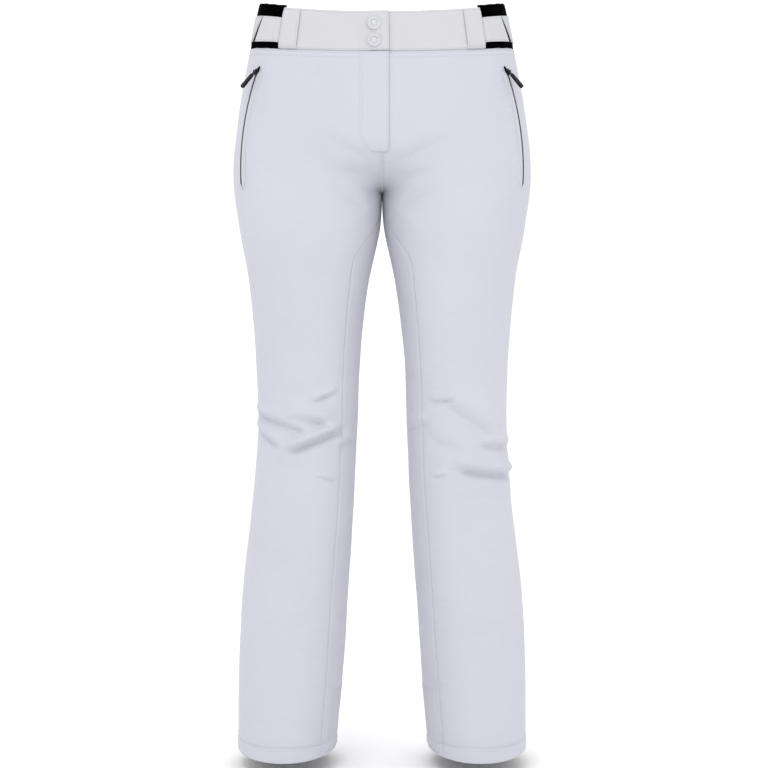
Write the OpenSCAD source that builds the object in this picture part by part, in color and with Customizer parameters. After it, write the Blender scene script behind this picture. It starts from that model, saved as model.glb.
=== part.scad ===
// Insulated ski pants, shown filled out as they are worn.
// Heights run up from the hem. The origin is the middle of the waist opening, at the top of the
// side waist. The front faces -Y, and the wearer's left is +X.

/* [Lengths] */
// Side length, from the hem to the top of the waist
side_length = 1040; // [1030:1:1060]
// Inside leg, from the hem to the crotch
inside_leg = 776; // [766:1:782]
// Height of the knee's bend line above the hem
knee_height = 440; // [430:1:450]
// Height of the waistband at the centre front
band_height = 54; // [48:1:58]
// Length of the fly opening below the waistband
fly_length = 135; // [120:1:140]
// Length of each hand pocket's zip
pocket_length = 164; // [150:1:176]

/* [Widths] */
// Half width of the waist
waist_half = 171; // [164:1:178]
// Half width of the hips
hip_half = 209; // [202:1:214]
// Distance from the centre line to the outside of the knee
knee_outer = 173; // [168:1:178]
// Distance from the centre line to the outside of the hem
hem_outer = 200; // [192:1:206]
// Depth of the hips, front to back
hip_depth = 238; // [226:1:246]
// Depth of one hem, front to back
hem_depth = 176; // [166:1:186]

/* [Cloth] */
// Thickness of the padded shell cloth
shell = 2.2; // [1.8:0.1:2.4]
// Thickness of the lining and the pocket bags
thin = 1; // [0.8:0.1:1.2]
// Gap left along each seam
seam = 0.5; // [0.3:0.1:0.8]

/* [Fasteners] */
// Diameter of a snap's cap
snap_d = 18; // [14:0.5:18]
// Length of a zip pull's grip
grip_length = 25; // [18:1:28]

/* [Hidden] */

// ---- The block: the outline that every panel is cut from ----

// Rows of height, outer x, inner x, front y, back y
BLOCK = [
    [0, hem_outer, 65, -hem_depth / 2 - 4, hem_depth / 2 - 4],
    [inside_leg * 0.16, 199, 54, -87, 86],
    [inside_leg * 0.31, 193, 46, -83, 87],
    [inside_leg * 0.45, knee_outer + 7, 39, -80, 76],
    [knee_height, knee_outer, 35, -84, 64],
    [inside_leg * 0.7, knee_outer + 2, 30.5, -88, 72],
    [inside_leg * 0.84, 186, 18.5, -95, 90],
    [inside_leg * 0.94, 200, 3, -100, 112],
    [inside_leg + 24, hip_half, 0, 134 - hip_depth, 134],
    [inside_leg + 100, hip_half - 6, 0, -102, 132],
    [inside_leg + 180, 188, 0, -97, 113],
    [side_length, waist_half, 0, -92, 97]
];
LEG_ROUND = 0.95;      // exponent of a leg's oval, 1 for an ellipse
BODY_ROUND = 0.87;     // exponent of the hips' oval, flatter at the front and back
FRONT_CROTCH = 62;     // height of the crotch curve at the front
BACK_CROTCH = 150;     // the same at the back
CROTCH_REACH = 0.22;   // how far round a leg the crotch curve softens out
HIP_BLEND = 190;       // height over which the side of a leg turns into the hips
HIP_DROP = 70;         // how far below the crotch that starts
HEM_LIFT = 5;          // how far the hem rises at its sides
RISE = 34;             // how much lower the waist is at the centre front
BAND_RISE = 25;        // the same for the waistband's lower seam
ELASTIC_UP = 3;        // how far the elastic stands above the waistband

PRINCESS = 0.123;      // the front edge of the inner leg panel, as a share of the way round a leg
INNER_BACK = -0.1;     // its back edge
SIDE = 0.5;            // the side seam
APEX = 0.002;          // half width of the inner panel at its point
EDGE = seam / 450;     // the seam gap as a share of the way round
FINE = 0.02;           // one step round the waist: layers share these steps, so they stay parallel

KNEE_Y = -4;           // the knee's bend line, front to back
WEDGE = 1.14;          // slope of the cut that lets the knee bend a right angle
YOKE_FRONT = 46;       // depth of the back yoke at the side seam
YOKE_BACK = 70;        // depth of the back yoke at the centre back

LOOP_FROM = 0.20;      // the front belt loops, round the waist
LOOP_TO = 0.26;
STRAP_TO = 0.42;       // the free end of the adjuster strap
LANDING_FROM = 0.38;
LANDING_TO = 0.62;
ELASTIC_TO = 0.60;

FLY_EDGE = 9;          // x of the flap's free edge
FLY_ROOT = -29;        // x of the flap's sewn edge
FLY_CORNER = 25;       // radius of the flap's lower corner
FLY_GAP = 0.006;       // half the gap between the front panels at the zip, round the waist
SNAP_X = -10.5;        // x of the two snaps
SNAP_UP = [14, 37];    // their heights above the waistband's lower seam

POCKET_TOP = 938;      // height of the top of a pocket zip
POCKET_T = [0.325, 0.3625, 0.392]; // how far round the zip is at its top, middle and foot

function mix(a, b, k) = a + (b - a) * k;
function smooth(k) = k <= 0 ? 0 : k >= 1 ? 1 : k * k * (3 - 2 * k);
function power(c, e) = sign(c) * pow(abs(c), e);
function unit(v) = v / norm(v);

// Column c of the block at height h, on a smooth curve through its rows
function slope(i, c) = let (a = BLOCK[max(i - 1, 0)], b = BLOCK[min(i + 1, len(BLOCK) - 1)])
    (b[c] - a[c]) / (b[0] - a[0]);
function row_below(h, i = 0) = i >= len(BLOCK) - 2 || BLOCK[i + 1][0] > h ? i : row_below(h, i + 1);
function block(h, c) =
    let (i = row_below(h), a = BLOCK[i], b = BLOCK[i + 1], w = b[0] - a[0],
        k = min(1, max(0, (h - a[0]) / w)))
    mix(a[c], b[c], smooth(k)) + slope(i, c) * w * k * pow(1 - k, 2)
        - slope(i + 1, c) * w * k * k * (1 - k);

// How much the oval of the hips has taken over from the oval of the leg: a sharp arch at the
// crotch seam, softening away from it
function hip_share(t, h) =
    let (away = smooth(min(abs(t), 1 - t) / CROTCH_REACH),
        height = mix(mix(FRONT_CROTCH, BACK_CROTCH, smooth(t)), HIP_BLEND, away),
        k = min(1, max(0, (h - inside_leg + HIP_DROP * away) / height)))
    pow(1 - pow(1 - k, 2), mix(0.5, 1.6, away));

// The point at share t of the way round the left half and height h, d mm inside the block.
// t is 0 at the inside leg and centre front, 0.5 at the side seam and 1 at the centre back.
function cloth(t, h, d) = t < 0 && h <= inside_leg ? cloth(t + 1, h, d) :
    let (xo = block(h, 1) - d, xi = block(h, 2) + d, yf = block(h, 3) + d, yb = block(h, 4) - d,
        cy = (yf + yb) / 2, b = (yb - yf) / 2, leg = 180 + 360 * t, hip = 180 * t,
        m = hip_share(t, h),
        x = mix((xo + xi) / 2 + (xo - xi) / 2 * power(cos(leg), LEG_ROUND),
            xo * power(sin(hip), BODY_ROUND), m),
        y = mix(cy + b * power(sin(leg), LEG_ROUND), cy - b * power(cos(hip), BODY_ROUND), m))
    [t < 0 ? x : max(x, seam / 3), y, h];

// Heights of the edges that go round the garment
function tilt(t) = (1 - cos(180 * min(1, abs(t) / 0.6))) / 2;
function waist_top(t) = side_length - RISE + (RISE - ELASTIC_UP) * tilt(t);
function band_seam(t) = side_length - RISE - band_height + BAND_RISE * tilt(t);
function hem_edge(t) = HEM_LIFT * pow(cos(360 * t), 2);
function wedge(t) = max(0, cloth(t, knee_height, 0).y - KNEE_Y) * WEDGE;
function above_knee(t) = knee_height + seam / 2 + wedge(t);
function below_knee(t) = knee_height - seam / 2 - wedge(t);
function yoke_seam(t) = band_seam(t) - mix(YOKE_FRONT, YOKE_BACK, smooth((t - SIDE) * 2));
function princess(h) = PRINCESS * smooth((inside_leg - h) / 110) + APEX;
function inner_back(h) = INNER_BACK * smooth((inside_leg - h) / 140) - APEX;
FLY_LOW = side_length - RISE - band_height - fly_length;

// ---- Builders ----

module hang() translate([0, 0, -side_length]) children();
module right_side() mirror([1, 0, 0]) children();

// A closed shell between two grids of points, outer and inner, each rows of equal length
module shell_between(outer, inner) {
    nu = len(outer[0]);
    nv = len(outer);
    half = nu * nv;
    rim = concat(
        [for (i = [0 : nu - 2]) i],
        [for (j = [0 : nv - 2]) j * nu + nu - 1],
        [for (i = [nu - 1 : -1 : 1]) (nv - 1) * nu + i],
        [for (j = [nv - 1 : -1 : 1]) j * nu]);
    faces = concat(
        [for (j = [0 : nv - 2], i = [0 : nu - 2]) each
            let (a = j * nu + i, b = a + 1, c = a + nu, d = c + 1) [[a, c, d], [a, d, b]]],
        [for (j = [0 : nv - 2], i = [0 : nu - 2]) each
            let (a = half + j * nu + i, b = a + 1, c = a + nu, d = c + 1) [[a, d, c], [a, b, d]]],
        [for (k = [0 : len(rim) - 1]) each
            let (a = rim[k], b = rim[(k + 1) % len(rim)])
                [[a, b, b + half], [a, b + half, a + half]]]);
    points = concat([for (r = outer) each r], [for (r = inner) each r]);
    polyhedron(points = points, faces = faces, convexity = 6);
}

// A panel of cloth: from(h) and to(h) are its sides, low(t) and high(t) its ends. Panels that
// cross the crotch have a row of points there, bend of the way up.
module panel(nt, nh, from, to, low, high, out_d, in_d, bend = 0) {
    function level(t, v) = v < bend ? mix(low(t), inside_leg, v / bend)
        : mix(bend > 0 ? inside_leg : low(t), high(t), (v - bend) / (1 - bend));
    function spot(u, v, d) =
        let (h0 = level(0.3, v), t0 = mix(from(h0), to(h0), u),
            h = level(t0, v), t = mix(from(h), to(h), u))
        cloth(t, level(t, v), d);
    hang() shell_between(
        [for (j = [0 : nh]) [for (i = [0 : nt]) spot(i / nt, j / nh, out_d)]],
        [for (j = [0 : nh]) [for (i = [0 : nt]) spot(i / nt, j / nh, in_d)]]);
}

// A band round the waist in the shared fine steps
module band(t0, t1, low, high, out_d, in_d, rows = 1)
    panel(round((t1 - t0) / FINE), rows, function (h) t0, function (h) t1, low, high, out_d, in_d);

// ---- Shell panels ----

module front_panel() color("whitesmoke") panel(16, 16,
    function (h) (h > FLY_LOW ? FLY_GAP : h >= inside_leg ? EDGE : princess(h) + EDGE),
    function (h) SIDE - EDGE,
    function (t) above_knee(t), function (t) band_seam(t) - seam, 0, shell, 10 / 16);

module inner_panel() color("lavender") panel(6, 10,
    function (h) inner_back(h), function (h) princess(h),
    function (t) above_knee(t), function (t) inside_leg - 1, 0, shell);

module back_panel() color("ghostwhite") panel(16, 15,
    function (h) SIDE + EDGE,
    function (h) (h >= inside_leg ? 1 - EDGE : 1 + inner_back(h) - EDGE),
    function (t) above_knee(t), function (t) yoke_seam(t) - seam, 0, shell, 10 / 15);

module back_yoke() color("whitesmoke") band(SIDE, 1 - EDGE,
    function (t) yoke_seam(t), function (t) band_seam(t) - seam, 0, shell, 2);

// The part of the back panel behind the knee, which crumples as the knee bends
module knee_back() color("lavender") panel(10, 3,
    function (h) 0.53, function (h) 0.97,
    function (t) below_knee(t) + 3, function (t) above_knee(t) - 3, 0, shell);

module lining() color("silver") panel(18, 10,
    function (h) (h > inside_leg + 20 ? 0.036 : 0.012), function (h) 0.988,
    function (t) knee_height + 110, function (t) band_seam(t) - 2, 6, 6 + thin, 0.6);

module shin_front() color("whitesmoke") panel(10, 9,
    function (h) princess(h) + EDGE, function (h) SIDE - EDGE,
    function (t) hem_edge(t), function (t) below_knee(t), 0, shell);

module shin_inner() color("lavender") panel(6, 9,
    function (h) inner_back(h), function (h) princess(h),
    function (t) hem_edge(t), function (t) below_knee(t), 0, shell);

module shin_back() color("ghostwhite") panel(10, 9,
    function (h) SIDE + EDGE, function (h) 1 + inner_back(h) - EDGE,
    function (t) hem_edge(t), function (t) below_knee(t), 0, shell);

// A tougher patch over the inner ankle, against ski edges
module kick_patch() color("gainsboro") panel(6, 4,
    function (h) inner_back(h) + 0.02, function (h) princess(h) - 0.02,
    function (t) hem_edge(t) + 3, function (t) 92 - 30 * abs(t), -1.6, -0.4);

// The inner cuff that closes round the boot
function gaiter_inset(h) = mix(24, 9, smooth((h - 30) / 160));
module gaiter_sleeve(low, high, nh, from, thick) hang() shell_between(
    [for (j = [0 : nh]) [for (i = [0 : 18])
        let (h = mix(low, high, j / nh)) cloth(i / 18 * 0.98 + 0.01, h, gaiter_inset(h) + from)]],
    [for (j = [0 : nh]) [for (i = [0 : 18])
        let (h = mix(low, high, j / nh)) cloth(i / 18 * 0.98 + 0.01, h, gaiter_inset(h) + from + thick)]]);
module snow_gaiter() color("dimgray") gaiter_sleeve(34, 205, 4, 0, thin);
module gaiter_elastic() color("black") gaiter_sleeve(22, 33, 1, -0.5, 2);

// ---- Waist ----

module waistband_front_left() color("whitesmoke") band(-0.04, LOOP_TO,
    function (t) band_seam(t), function (t) waist_top(t), 0, shell);

module waistband_front_right() color("whitesmoke") band(-LOOP_TO, -0.04,
    function (t) band_seam(t), function (t) waist_top(t), 0, shell);

module waistband_back() color("whitesmoke") {
    band(ELASTIC_TO, 1, function (t) band_seam(t), function (t) waist_top(t), 0, shell);
    right_side() band(ELASTIC_TO, 1, function (t) band_seam(t), function (t) waist_top(t), 0, shell);
}

module waist_elastic() color("black") band(LOOP_TO, ELASTIC_TO,
    function (t) band_seam(t), function (t) waist_top(t) + ELASTIC_UP, 0.5, 2);

module waistband_facing() color("dimgray") {
    band(0.04, 1 - FINE, function (t) band_seam(t) + 2, function (t) waist_top(t) - 3, 3.2, 4.2);
    right_side() band(0.04, 1 - FINE,
        function (t) band_seam(t) + 2, function (t) waist_top(t) - 3, 3.2, 4.2);
}

module belt_loop() color("whitesmoke") band(LOOP_FROM, LOOP_TO,
    function (t) band_seam(t) + 1, function (t) waist_top(t), -3.4, -1.4);

BACK_LOOP_X = 60;
module back_belt_loops() color("whitesmoke") hang() for (side = [-1, 1]) {
    wall = cloth(0.86, side_length - 30, 0);
    lean = atan((block(side_length, 4) - block(side_length - 56, 4)) / 56);
    translate([side * wall.x, wall.y, side_length - 28]) rotate([-lean, 0, 0]) rotate([0, 0, -side * 18])
        for (part = [[0.6, 8, -27, 4], [6.6, 2, -27, 54], [0.6, 8, 23, 4]])
            translate([-6, part[0], part[2]]) cube([12, part[1], part[3]]);
}

// The strap's landing, on the back of the elastic
module adjuster_landing() color("white") band(LANDING_FROM, LANDING_TO,
    function (t) band_seam(t) + 9, function (t) waist_top(t) - 15, -1.6, -0.4);

module adjuster_strap() color("white") band(LOOP_TO + FINE, STRAP_TO,
    function (t) band_seam(t) + 9, function (t) waist_top(t) - 15, -5.2, -3.4);

module adjuster_hook() color("gray") band(LANDING_FROM, STRAP_TO - FINE,
    function (t) band_seam(t) + 13, function (t) waist_top(t) - 19, -3.2, -2);

module size_label() color("white") hang()
    translate([-20, block(side_length - 30, 4) - 9.2, side_length - 52]) cube([40, 0.8, 34]);

// ---- Fly ----

fly_y = function (h) block(h, 3);
fly_lean = atan((fly_y(side_length - RISE) - fly_y(FLY_LOW)) / (band_height + fly_length));

// A frame on the centre front at height h: local Z points out of the cloth and local Y up it
module on_front(x, h, d) hang() translate([x, fly_y(h) + d, h]) rotate([90 - fly_lean, 0, 0]) children();

function share_at(x, h) = asin(pow(abs(x) / block(h, 1), 1 / BODY_ROUND)) / 180 * sign(x);
function flap_side(h) = h > FLY_LOW + FLY_CORNER ? FLY_ROOT
    : FLY_ROOT + FLY_CORNER - sqrt(max(0, pow(FLY_CORNER, 2) - pow(FLY_LOW + FLY_CORNER - h, 2)));

module fly_flap() color("white") panel(6, 9,
    function (h) share_at(flap_side(h), h), function (h) share_at(FLY_EDGE, h),
    function (t) FLY_LOW + 1, function (t) band_seam(t) - seam, -4.4, -2.8);

module waistband_tab() color("white") panel(6, 2,
    function (h) share_at(FLY_ROOT, h), function (h) share_at(FLY_EDGE, h),
    function (t) band_seam(t) + seam, function (t) waist_top(t), -4.4, -2.4);

module at_snaps(d) for (up = SNAP_UP) on_front(SNAP_X, side_length - RISE - band_height + up, d)
    children();
module snap_caps() color("white") at_snaps(-4.5) rotate_extrude($fn = 64)
    polygon([[0, 0], [snap_d / 2, 0], [snap_d / 2, 0.8], [snap_d / 2 - 0.8, 1.4], [5.5, 1.2],
        [4.5, 0.7], [0, 0.7]]);
module snap_sockets() color("silver") at_snaps(-2.3) translate([0, 0, -1.5]) difference() {
    cylinder(h = 1.4, d = 11, $fn = 48);
    translate([0, 0, -1]) cylinder(h = 4, d = 5.8, $fn = 48);
}
module snap_studs() color("silver") at_snaps(-0.1) {
    cylinder(h = 0.4, d = 10, $fn = 48);
    cylinder(h = 1.8, d = 5, $fn = 48);
}

module fly_shield() color("lightgray") panel(4, 6,
    function (h) share_at(-14, h), function (h) share_at(24, h),
    function (t) FLY_LOW + 14, function (t) band_seam(t) - 3, 5.8, 6.6);

ZIP_MID = FLY_LOW + fly_length / 2;
module fly_zip_chain() color("darkgray") on_front(0, ZIP_MID, 4.8) {
    translate([-9, 22 - fly_length / 2, 0]) cube([18, fly_length - 26, 0.8]);
    for (up = [24 - fly_length / 2 : 3 : fly_length / 2 - 8])
        translate([-2.5, up, 0.8]) cube([5, 2, 1.4]);
}

// A pull's outline: a bar from a small round end down to a larger one
module pull_outline(d1, d2, from, to) hull() {
    translate([0, -from]) circle(d = d1, $fn = 32);
    translate([0, -to]) circle(d = d2, $fn = 32);
}

// A slider lies over the chain: local Z is out of the cloth and local Y up the zip
module slider_body(long, wide, tall) linear_extrude(tall)
    polygon([[-wide / 2, long / 2], [wide / 2, long / 2], [wide / 2, 0],
        [wide / 3, -long / 2], [-wide / 3, -long / 2], [-wide / 2, 0]]);
module fly_zip_slider() color("gray")
    on_front(0, FLY_LOW + fly_length - 10, 0.8) slider_body(9, 8, 1.8);
module fly_zip_pull() color("gray")
    on_front(0, FLY_LOW + fly_length - 10, -1.2) linear_extrude(0.9) difference() {
        pull_outline(6, 7, 0, 20);
        translate([0, -20]) circle(d = 3, $fn = 32);
    }

// ---- Hand pockets: the zip lies on a true arc over the hip ----

// Height of a place on the zip, k from 0 at its top to 1 at its foot
function pocket_h(k) = POCKET_TOP - pocket_length * k;
ZIP_ON = [for (k = [0, 1, 2]) cloth(POCKET_T[k], pocket_h(k / 2), -1.2)];
ZIP_A = ZIP_ON[0] - ZIP_ON[2];
ZIP_B = ZIP_ON[1] - ZIP_ON[2];
ZIP_N = cross(ZIP_A, ZIP_B);
ZIP_CENTRE = ZIP_ON[2] + cross(pow(norm(ZIP_A), 2) * ZIP_B - pow(norm(ZIP_B), 2) * ZIP_A, ZIP_N)
    / (2 * pow(norm(ZIP_N), 2));
ZIP_R = norm(ZIP_ON[0] - ZIP_CENTRE);
ZIP_U = unit(ZIP_ON[0] - ZIP_CENTRE);
ZIP_AXIS = unit(cross(ZIP_ON[0] - ZIP_CENTRE, ZIP_ON[2] - ZIP_CENTRE));
ZIP_W = cross(ZIP_AXIS, ZIP_U);
ZIP_SPAN = acos(unit(ZIP_ON[0] - ZIP_CENTRE) * unit(ZIP_ON[2] - ZIP_CENTRE));
// How far the cloth's outward direction is turned from the arc's, about the line of the zip
ZIP_OUT = cross(cloth(POCKET_T[1] + 0.02, pocket_h(0.5), 0) - cloth(POCKET_T[1] - 0.02, pocket_h(0.5), 0),
    cloth(POCKET_T[1], pocket_h(0.45), 0) - cloth(POCKET_T[1], pocket_h(0.55), 0));
ZIP_MIDDLE = unit(ZIP_ON[1] - ZIP_CENTRE);
ZIP_TURN = atan2(ZIP_OUT * ZIP_AXIS, ZIP_OUT * ZIP_MIDDLE);
SLIDER_AT = 3.2 / ZIP_R * 180 / PI; // where the closed slider's middle is, past the zip's top
TAPE_W = 8;
PULL_OUT = 24;     // how far the pull stands off the cloth at rest
BRIDGE = 4.6;      // height of the pull's pivot above the tape

function as_matrix(a, b, c, o) = [[a.x, b.x, c.x, o.x], [a.y, b.y, c.y, o.y], [a.z, b.z, c.z, o.z],
    [0, 0, 0, 1]];
module zip_arc(from, to, low, high, wide) multmatrix(as_matrix(ZIP_U, ZIP_W, ZIP_AXIS, ZIP_CENTRE))
    rotate([0, 0, from]) rotate_extrude(angle = to - from, $fn = 360)
        translate([ZIP_R, 0]) rotate(ZIP_TURN) translate([low, -wide / 2]) square([high - low, wide]);
// A frame on the zip, turned angle along it: local Z is out of the cloth and local Y up the zip
module on_zip(angle, up) {
    r = ZIP_U * cos(angle) + ZIP_W * sin(angle);
    down = ZIP_W * cos(angle) - ZIP_U * sin(angle);
    out = r * cos(ZIP_TURN) + ZIP_AXIS * sin(ZIP_TURN);
    across = ZIP_AXIS * cos(ZIP_TURN) - r * sin(ZIP_TURN);
    multmatrix(as_matrix(across, -down, out, ZIP_CENTRE + r * ZIP_R + out * up)) children();
}

module pocket_zip_chain() color("dimgray") hang() {
    zip_arc(0, ZIP_SPAN, 0, 0.8, TAPE_W);
    zip_arc(0.2, ZIP_SPAN - 0.2, 0.8, 1.6, 4);
}
module pocket_zip_slider() color("black") hang() on_zip(SLIDER_AT + 0.5, 1.8) {
    slider_body(9, 7, 1.2);
    for (side = [-1, 1]) translate([side * 2.3 - 0.6, -2, 1.2]) cube([1.2, 4, 2.8]);
    translate([-2.9, 0, BRIDGE - 1.8]) rotate([0, 90, 0]) cylinder(h = 5.8, r = 0.6, $fn = 24);
}
module at_pull() hang() on_zip(SLIDER_AT + 0.5, BRIDGE) rotate([-PULL_OUT, 0, 0]) children();
module pocket_zip_pull() color("gray") at_pull() difference() {
    union() {
        translate([-1.5, -9, -1]) cube([3, 9, 2]);
        translate([-1.5, 0, 0]) rotate([0, 90, 0]) cylinder(h = 3, r = 1.2, $fn = 32);
    }
    translate([-4, 0, 0]) rotate([0, 90, 0]) cylinder(h = 8, r = 0.66, $fn = 24);
}
module pull_grip() color("black") at_pull() translate([0, 0, -1.6]) linear_extrude(3.2)
    difference() {
        pull_outline(5, 7, 6.5, grip_length);
        translate([-1.6, -9.1]) square([3.2, 11]);
    }
module pocket_bag() color("lightgray") panel(6, 6,
    function (h) 0.24, function (h) 0.44,
    function (t) POCKET_TOP - pocket_length - 40, function (t) band_seam(t) - 8, 3.6, 3.6 + thin);

// ---- What each name draws ----

front_panel();  // front_panel_left
right_side() front_panel();  // front_panel_right
inner_panel();  // inner_panel_left
right_side() inner_panel();  // inner_panel_right
back_panel();  // back_panel_left
right_side() back_panel();  // back_panel_right
back_yoke();  // back_yoke_left
right_side() back_yoke();  // back_yoke_right
knee_back();  // knee_back_left
right_side() knee_back();  // knee_back_right
lining();  // lining_left
right_side() lining();  // lining_right
waistband_front_left();
waistband_front_right();
waistband_back();
waist_elastic();  // waist_elastic_left
right_side() waist_elastic();  // waist_elastic_right
waistband_facing();
belt_loop();  // belt_loop_left
right_side() belt_loop();  // belt_loop_right
back_belt_loops();
adjuster_landing();  // adjuster_landing_left
right_side() adjuster_landing();  // adjuster_landing_right
fly_shield();
fly_zip_chain();
snap_studs();
pocket_zip_chain();  // pocket_zip_chain_left
right_side() pocket_zip_chain();  // pocket_zip_chain_right
pocket_bag();  // pocket_bag_left
right_side() pocket_bag();  // pocket_bag_right
size_label();
fly_flap();
waistband_tab();
snap_caps();
snap_sockets();
fly_zip_slider();
fly_zip_pull();
pocket_zip_slider();  // pocket_zip_slider_left
right_side() pocket_zip_slider();  // pocket_zip_slider_right
pocket_zip_pull();  // pocket_zip_pull_left
right_side() pocket_zip_pull();  // pocket_zip_pull_right
pull_grip();  // pull_grip_left
right_side() pull_grip();  // pull_grip_right
adjuster_strap();  // adjuster_strap_left
right_side() adjuster_strap();  // adjuster_strap_right
adjuster_hook();  // adjuster_hook_left
right_side() adjuster_hook();  // adjuster_hook_right
shin_front();  // shin_front_left
right_side() shin_front();  // shin_front_right
shin_inner();  // shin_inner_left
right_side() shin_inner();  // shin_inner_right
shin_back();  // shin_back_left
right_side() shin_back();  // shin_back_right
kick_patch();  // kick_patch_left
right_side() kick_patch();  // kick_patch_right
snow_gaiter();  // snow_gaiter_left
right_side() snow_gaiter();  // snow_gaiter_right
gaiter_elastic();  // gaiter_elastic_left
right_side() gaiter_elastic();  // gaiter_elastic_right
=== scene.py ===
import math

import bpy
import numpy as np
from bpy.props import FloatProperty, FloatVectorProperty, IntProperty, PointerProperty
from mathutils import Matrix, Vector


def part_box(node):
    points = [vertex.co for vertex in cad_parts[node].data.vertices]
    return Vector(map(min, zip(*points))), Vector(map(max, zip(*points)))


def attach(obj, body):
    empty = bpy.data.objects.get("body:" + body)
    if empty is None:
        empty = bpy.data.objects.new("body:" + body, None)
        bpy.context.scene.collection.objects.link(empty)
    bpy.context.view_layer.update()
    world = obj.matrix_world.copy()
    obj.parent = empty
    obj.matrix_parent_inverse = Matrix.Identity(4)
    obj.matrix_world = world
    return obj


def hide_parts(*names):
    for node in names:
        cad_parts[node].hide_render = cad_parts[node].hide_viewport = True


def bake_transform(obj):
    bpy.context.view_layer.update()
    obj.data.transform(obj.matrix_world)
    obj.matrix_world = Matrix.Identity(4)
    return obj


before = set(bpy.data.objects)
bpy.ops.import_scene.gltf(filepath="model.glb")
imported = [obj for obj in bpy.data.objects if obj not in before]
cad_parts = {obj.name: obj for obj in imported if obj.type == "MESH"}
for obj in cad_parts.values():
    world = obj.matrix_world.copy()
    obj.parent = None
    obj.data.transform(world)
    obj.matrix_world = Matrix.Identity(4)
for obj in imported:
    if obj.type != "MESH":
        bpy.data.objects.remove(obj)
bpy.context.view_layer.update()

bl_info = {
    "name": "Ski pants",
    "version": (1, 0, 0),
    "blender": (4, 5, 0),
    "location": "3D View > Sidebar > Ski pants",
    "description": "Insulated ski pants with darted knees, a snap fly, zipped pockets and gaiters",
    "category": "Add Mesh",
}

# ---- The block, in millimetres: heights run up from the hem, as in the part's own source ----

SIDE_LENGTH = 1040.0
INSIDE_LEG = 776.0
BAND_HEIGHT = 54.0
FLY_LENGTH = 135.0
POCKET_LENGTH = 164.0
BLOCK = np.array([
    # height, outer x, inner x, front y, back y
    [0.0, 200.0, 65.0, -92.0, 84.0],
    [124.16, 199.0, 54.0, -87.0, 86.0],
    [240.56, 193.0, 46.0, -83.0, 87.0],
    [349.2, 180.0, 39.0, -80.0, 76.0],
    [440.0, 173.0, 35.0, -84.0, 64.0],
    [543.2, 175.0, 30.5, -88.0, 72.0],
    [651.84, 186.0, 18.5, -95.0, 90.0],
    [729.44, 200.0, 2.4, -100.0, 112.0],
    [800.0, 209.0, 0.0, -104.0, 134.0],
    [876.0, 203.0, 0.0, -102.0, 132.0],
    [956.0, 188.0, 0.0, -97.0, 113.0],
    [1040.0, 171.0, 0.0, -92.0, 97.0],
])
LEG_ROUND, BODY_ROUND = 0.95, 0.87
FRONT_CROTCH, BACK_CROTCH = 62.0, 150.0
CROTCH_REACH, HIP_BLEND, HIP_DROP = 0.22, 190.0, 70.0
HEM_LIFT, RISE, BAND_RISE, ELASTIC_UP = 5.0, 34.0, 25.0, 3.0
PRINCESS, INNER_BACK, SIDE, APEX, EDGE = 0.123, -0.1, 0.5, 0.002, 0.0003
YOKE_FRONT, YOKE_BACK = 46.0, 70.0
LOOP_FROM, LOOP_TO = 0.192, 0.252
STRAP_BEND = 10.0
STRAP_FROM, STRAP_DEPTH, LANDING_DEPTH = 0.2545, -3.9, -1.5
ELASTIC_TO = 0.6
WAIST_LEVEL = 980.0
FLOOR_GAP, CAMERA_SHIFT = 0.02, 0.0026
FLY_EDGE, FLY_ROOT, FLY_CORNER = 9.0, -29.0, 25.0
FLY_LOW = SIDE_LENGTH - RISE - BAND_HEIGHT - FLY_LENGTH
SNAP_X, SNAP_UP = -10.5, (14.0, 37.0)
POCKET_TOP, POCKET_T = 938.0, (0.325, 0.3625, 0.392)
SHELL = 2.2
SIDES = (("left", 1.0), ("right", -1.0))


def smooth(k):
    """Eases from 0 to 1: 3k^2 - 2k^3 with k held between 0 and 1."""
    k = np.clip(k, 0.0, 1.0)
    return k * k * (3.0 - 2.0 * k)


def mix(a, b, k):
    """a at k = 0, b at k = 1, in a straight line."""
    return a + (b - a) * k


def power(c, e):
    """|c| to the power e, with the sign of c: it makes an oval from a circle."""
    return np.sign(c) * np.abs(c) ** e


def block(h, column):
    """A smooth cubic through one column of the block table at heights h."""
    heights, values = BLOCK[:, 0], BLOCK[:, column]
    slopes = np.empty(len(heights))
    slopes[1:-1] = (values[2:] - values[:-2]) / (heights[2:] - heights[:-2])
    slopes[0] = (values[1] - values[0]) / (heights[1] - heights[0])
    slopes[-1] = (values[-1] - values[-2]) / (heights[-1] - heights[-2])
    i = np.clip(np.searchsorted(heights, h, side="right") - 1, 0, len(heights) - 2)
    w = heights[i + 1] - heights[i]
    k = np.clip((h - heights[i]) / w, 0.0, 1.0)
    return (mix(values[i], values[i + 1], smooth(k)) + slopes[i] * w * k * (1 - k) ** 2
            - slopes[i + 1] * w * k * k * (1 - k))


def hip_share(t, h):
    """How far the oval of the hips has taken over from the oval of the leg.
    It is a quarter circle, an arch, at the crotch seam, and softens with the distance round the leg."""
    away = smooth(np.minimum(np.abs(t), 1 - t) / CROTCH_REACH)
    height = mix(mix(FRONT_CROTCH, BACK_CROTCH, smooth(t)), HIP_BLEND, away)
    k = np.clip((h - INSIDE_LEG + HIP_DROP * away) / height, 0.0, 1.0)
    return (1 - (1 - k) ** 2) ** mix(0.5, 1.6, away)


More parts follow.
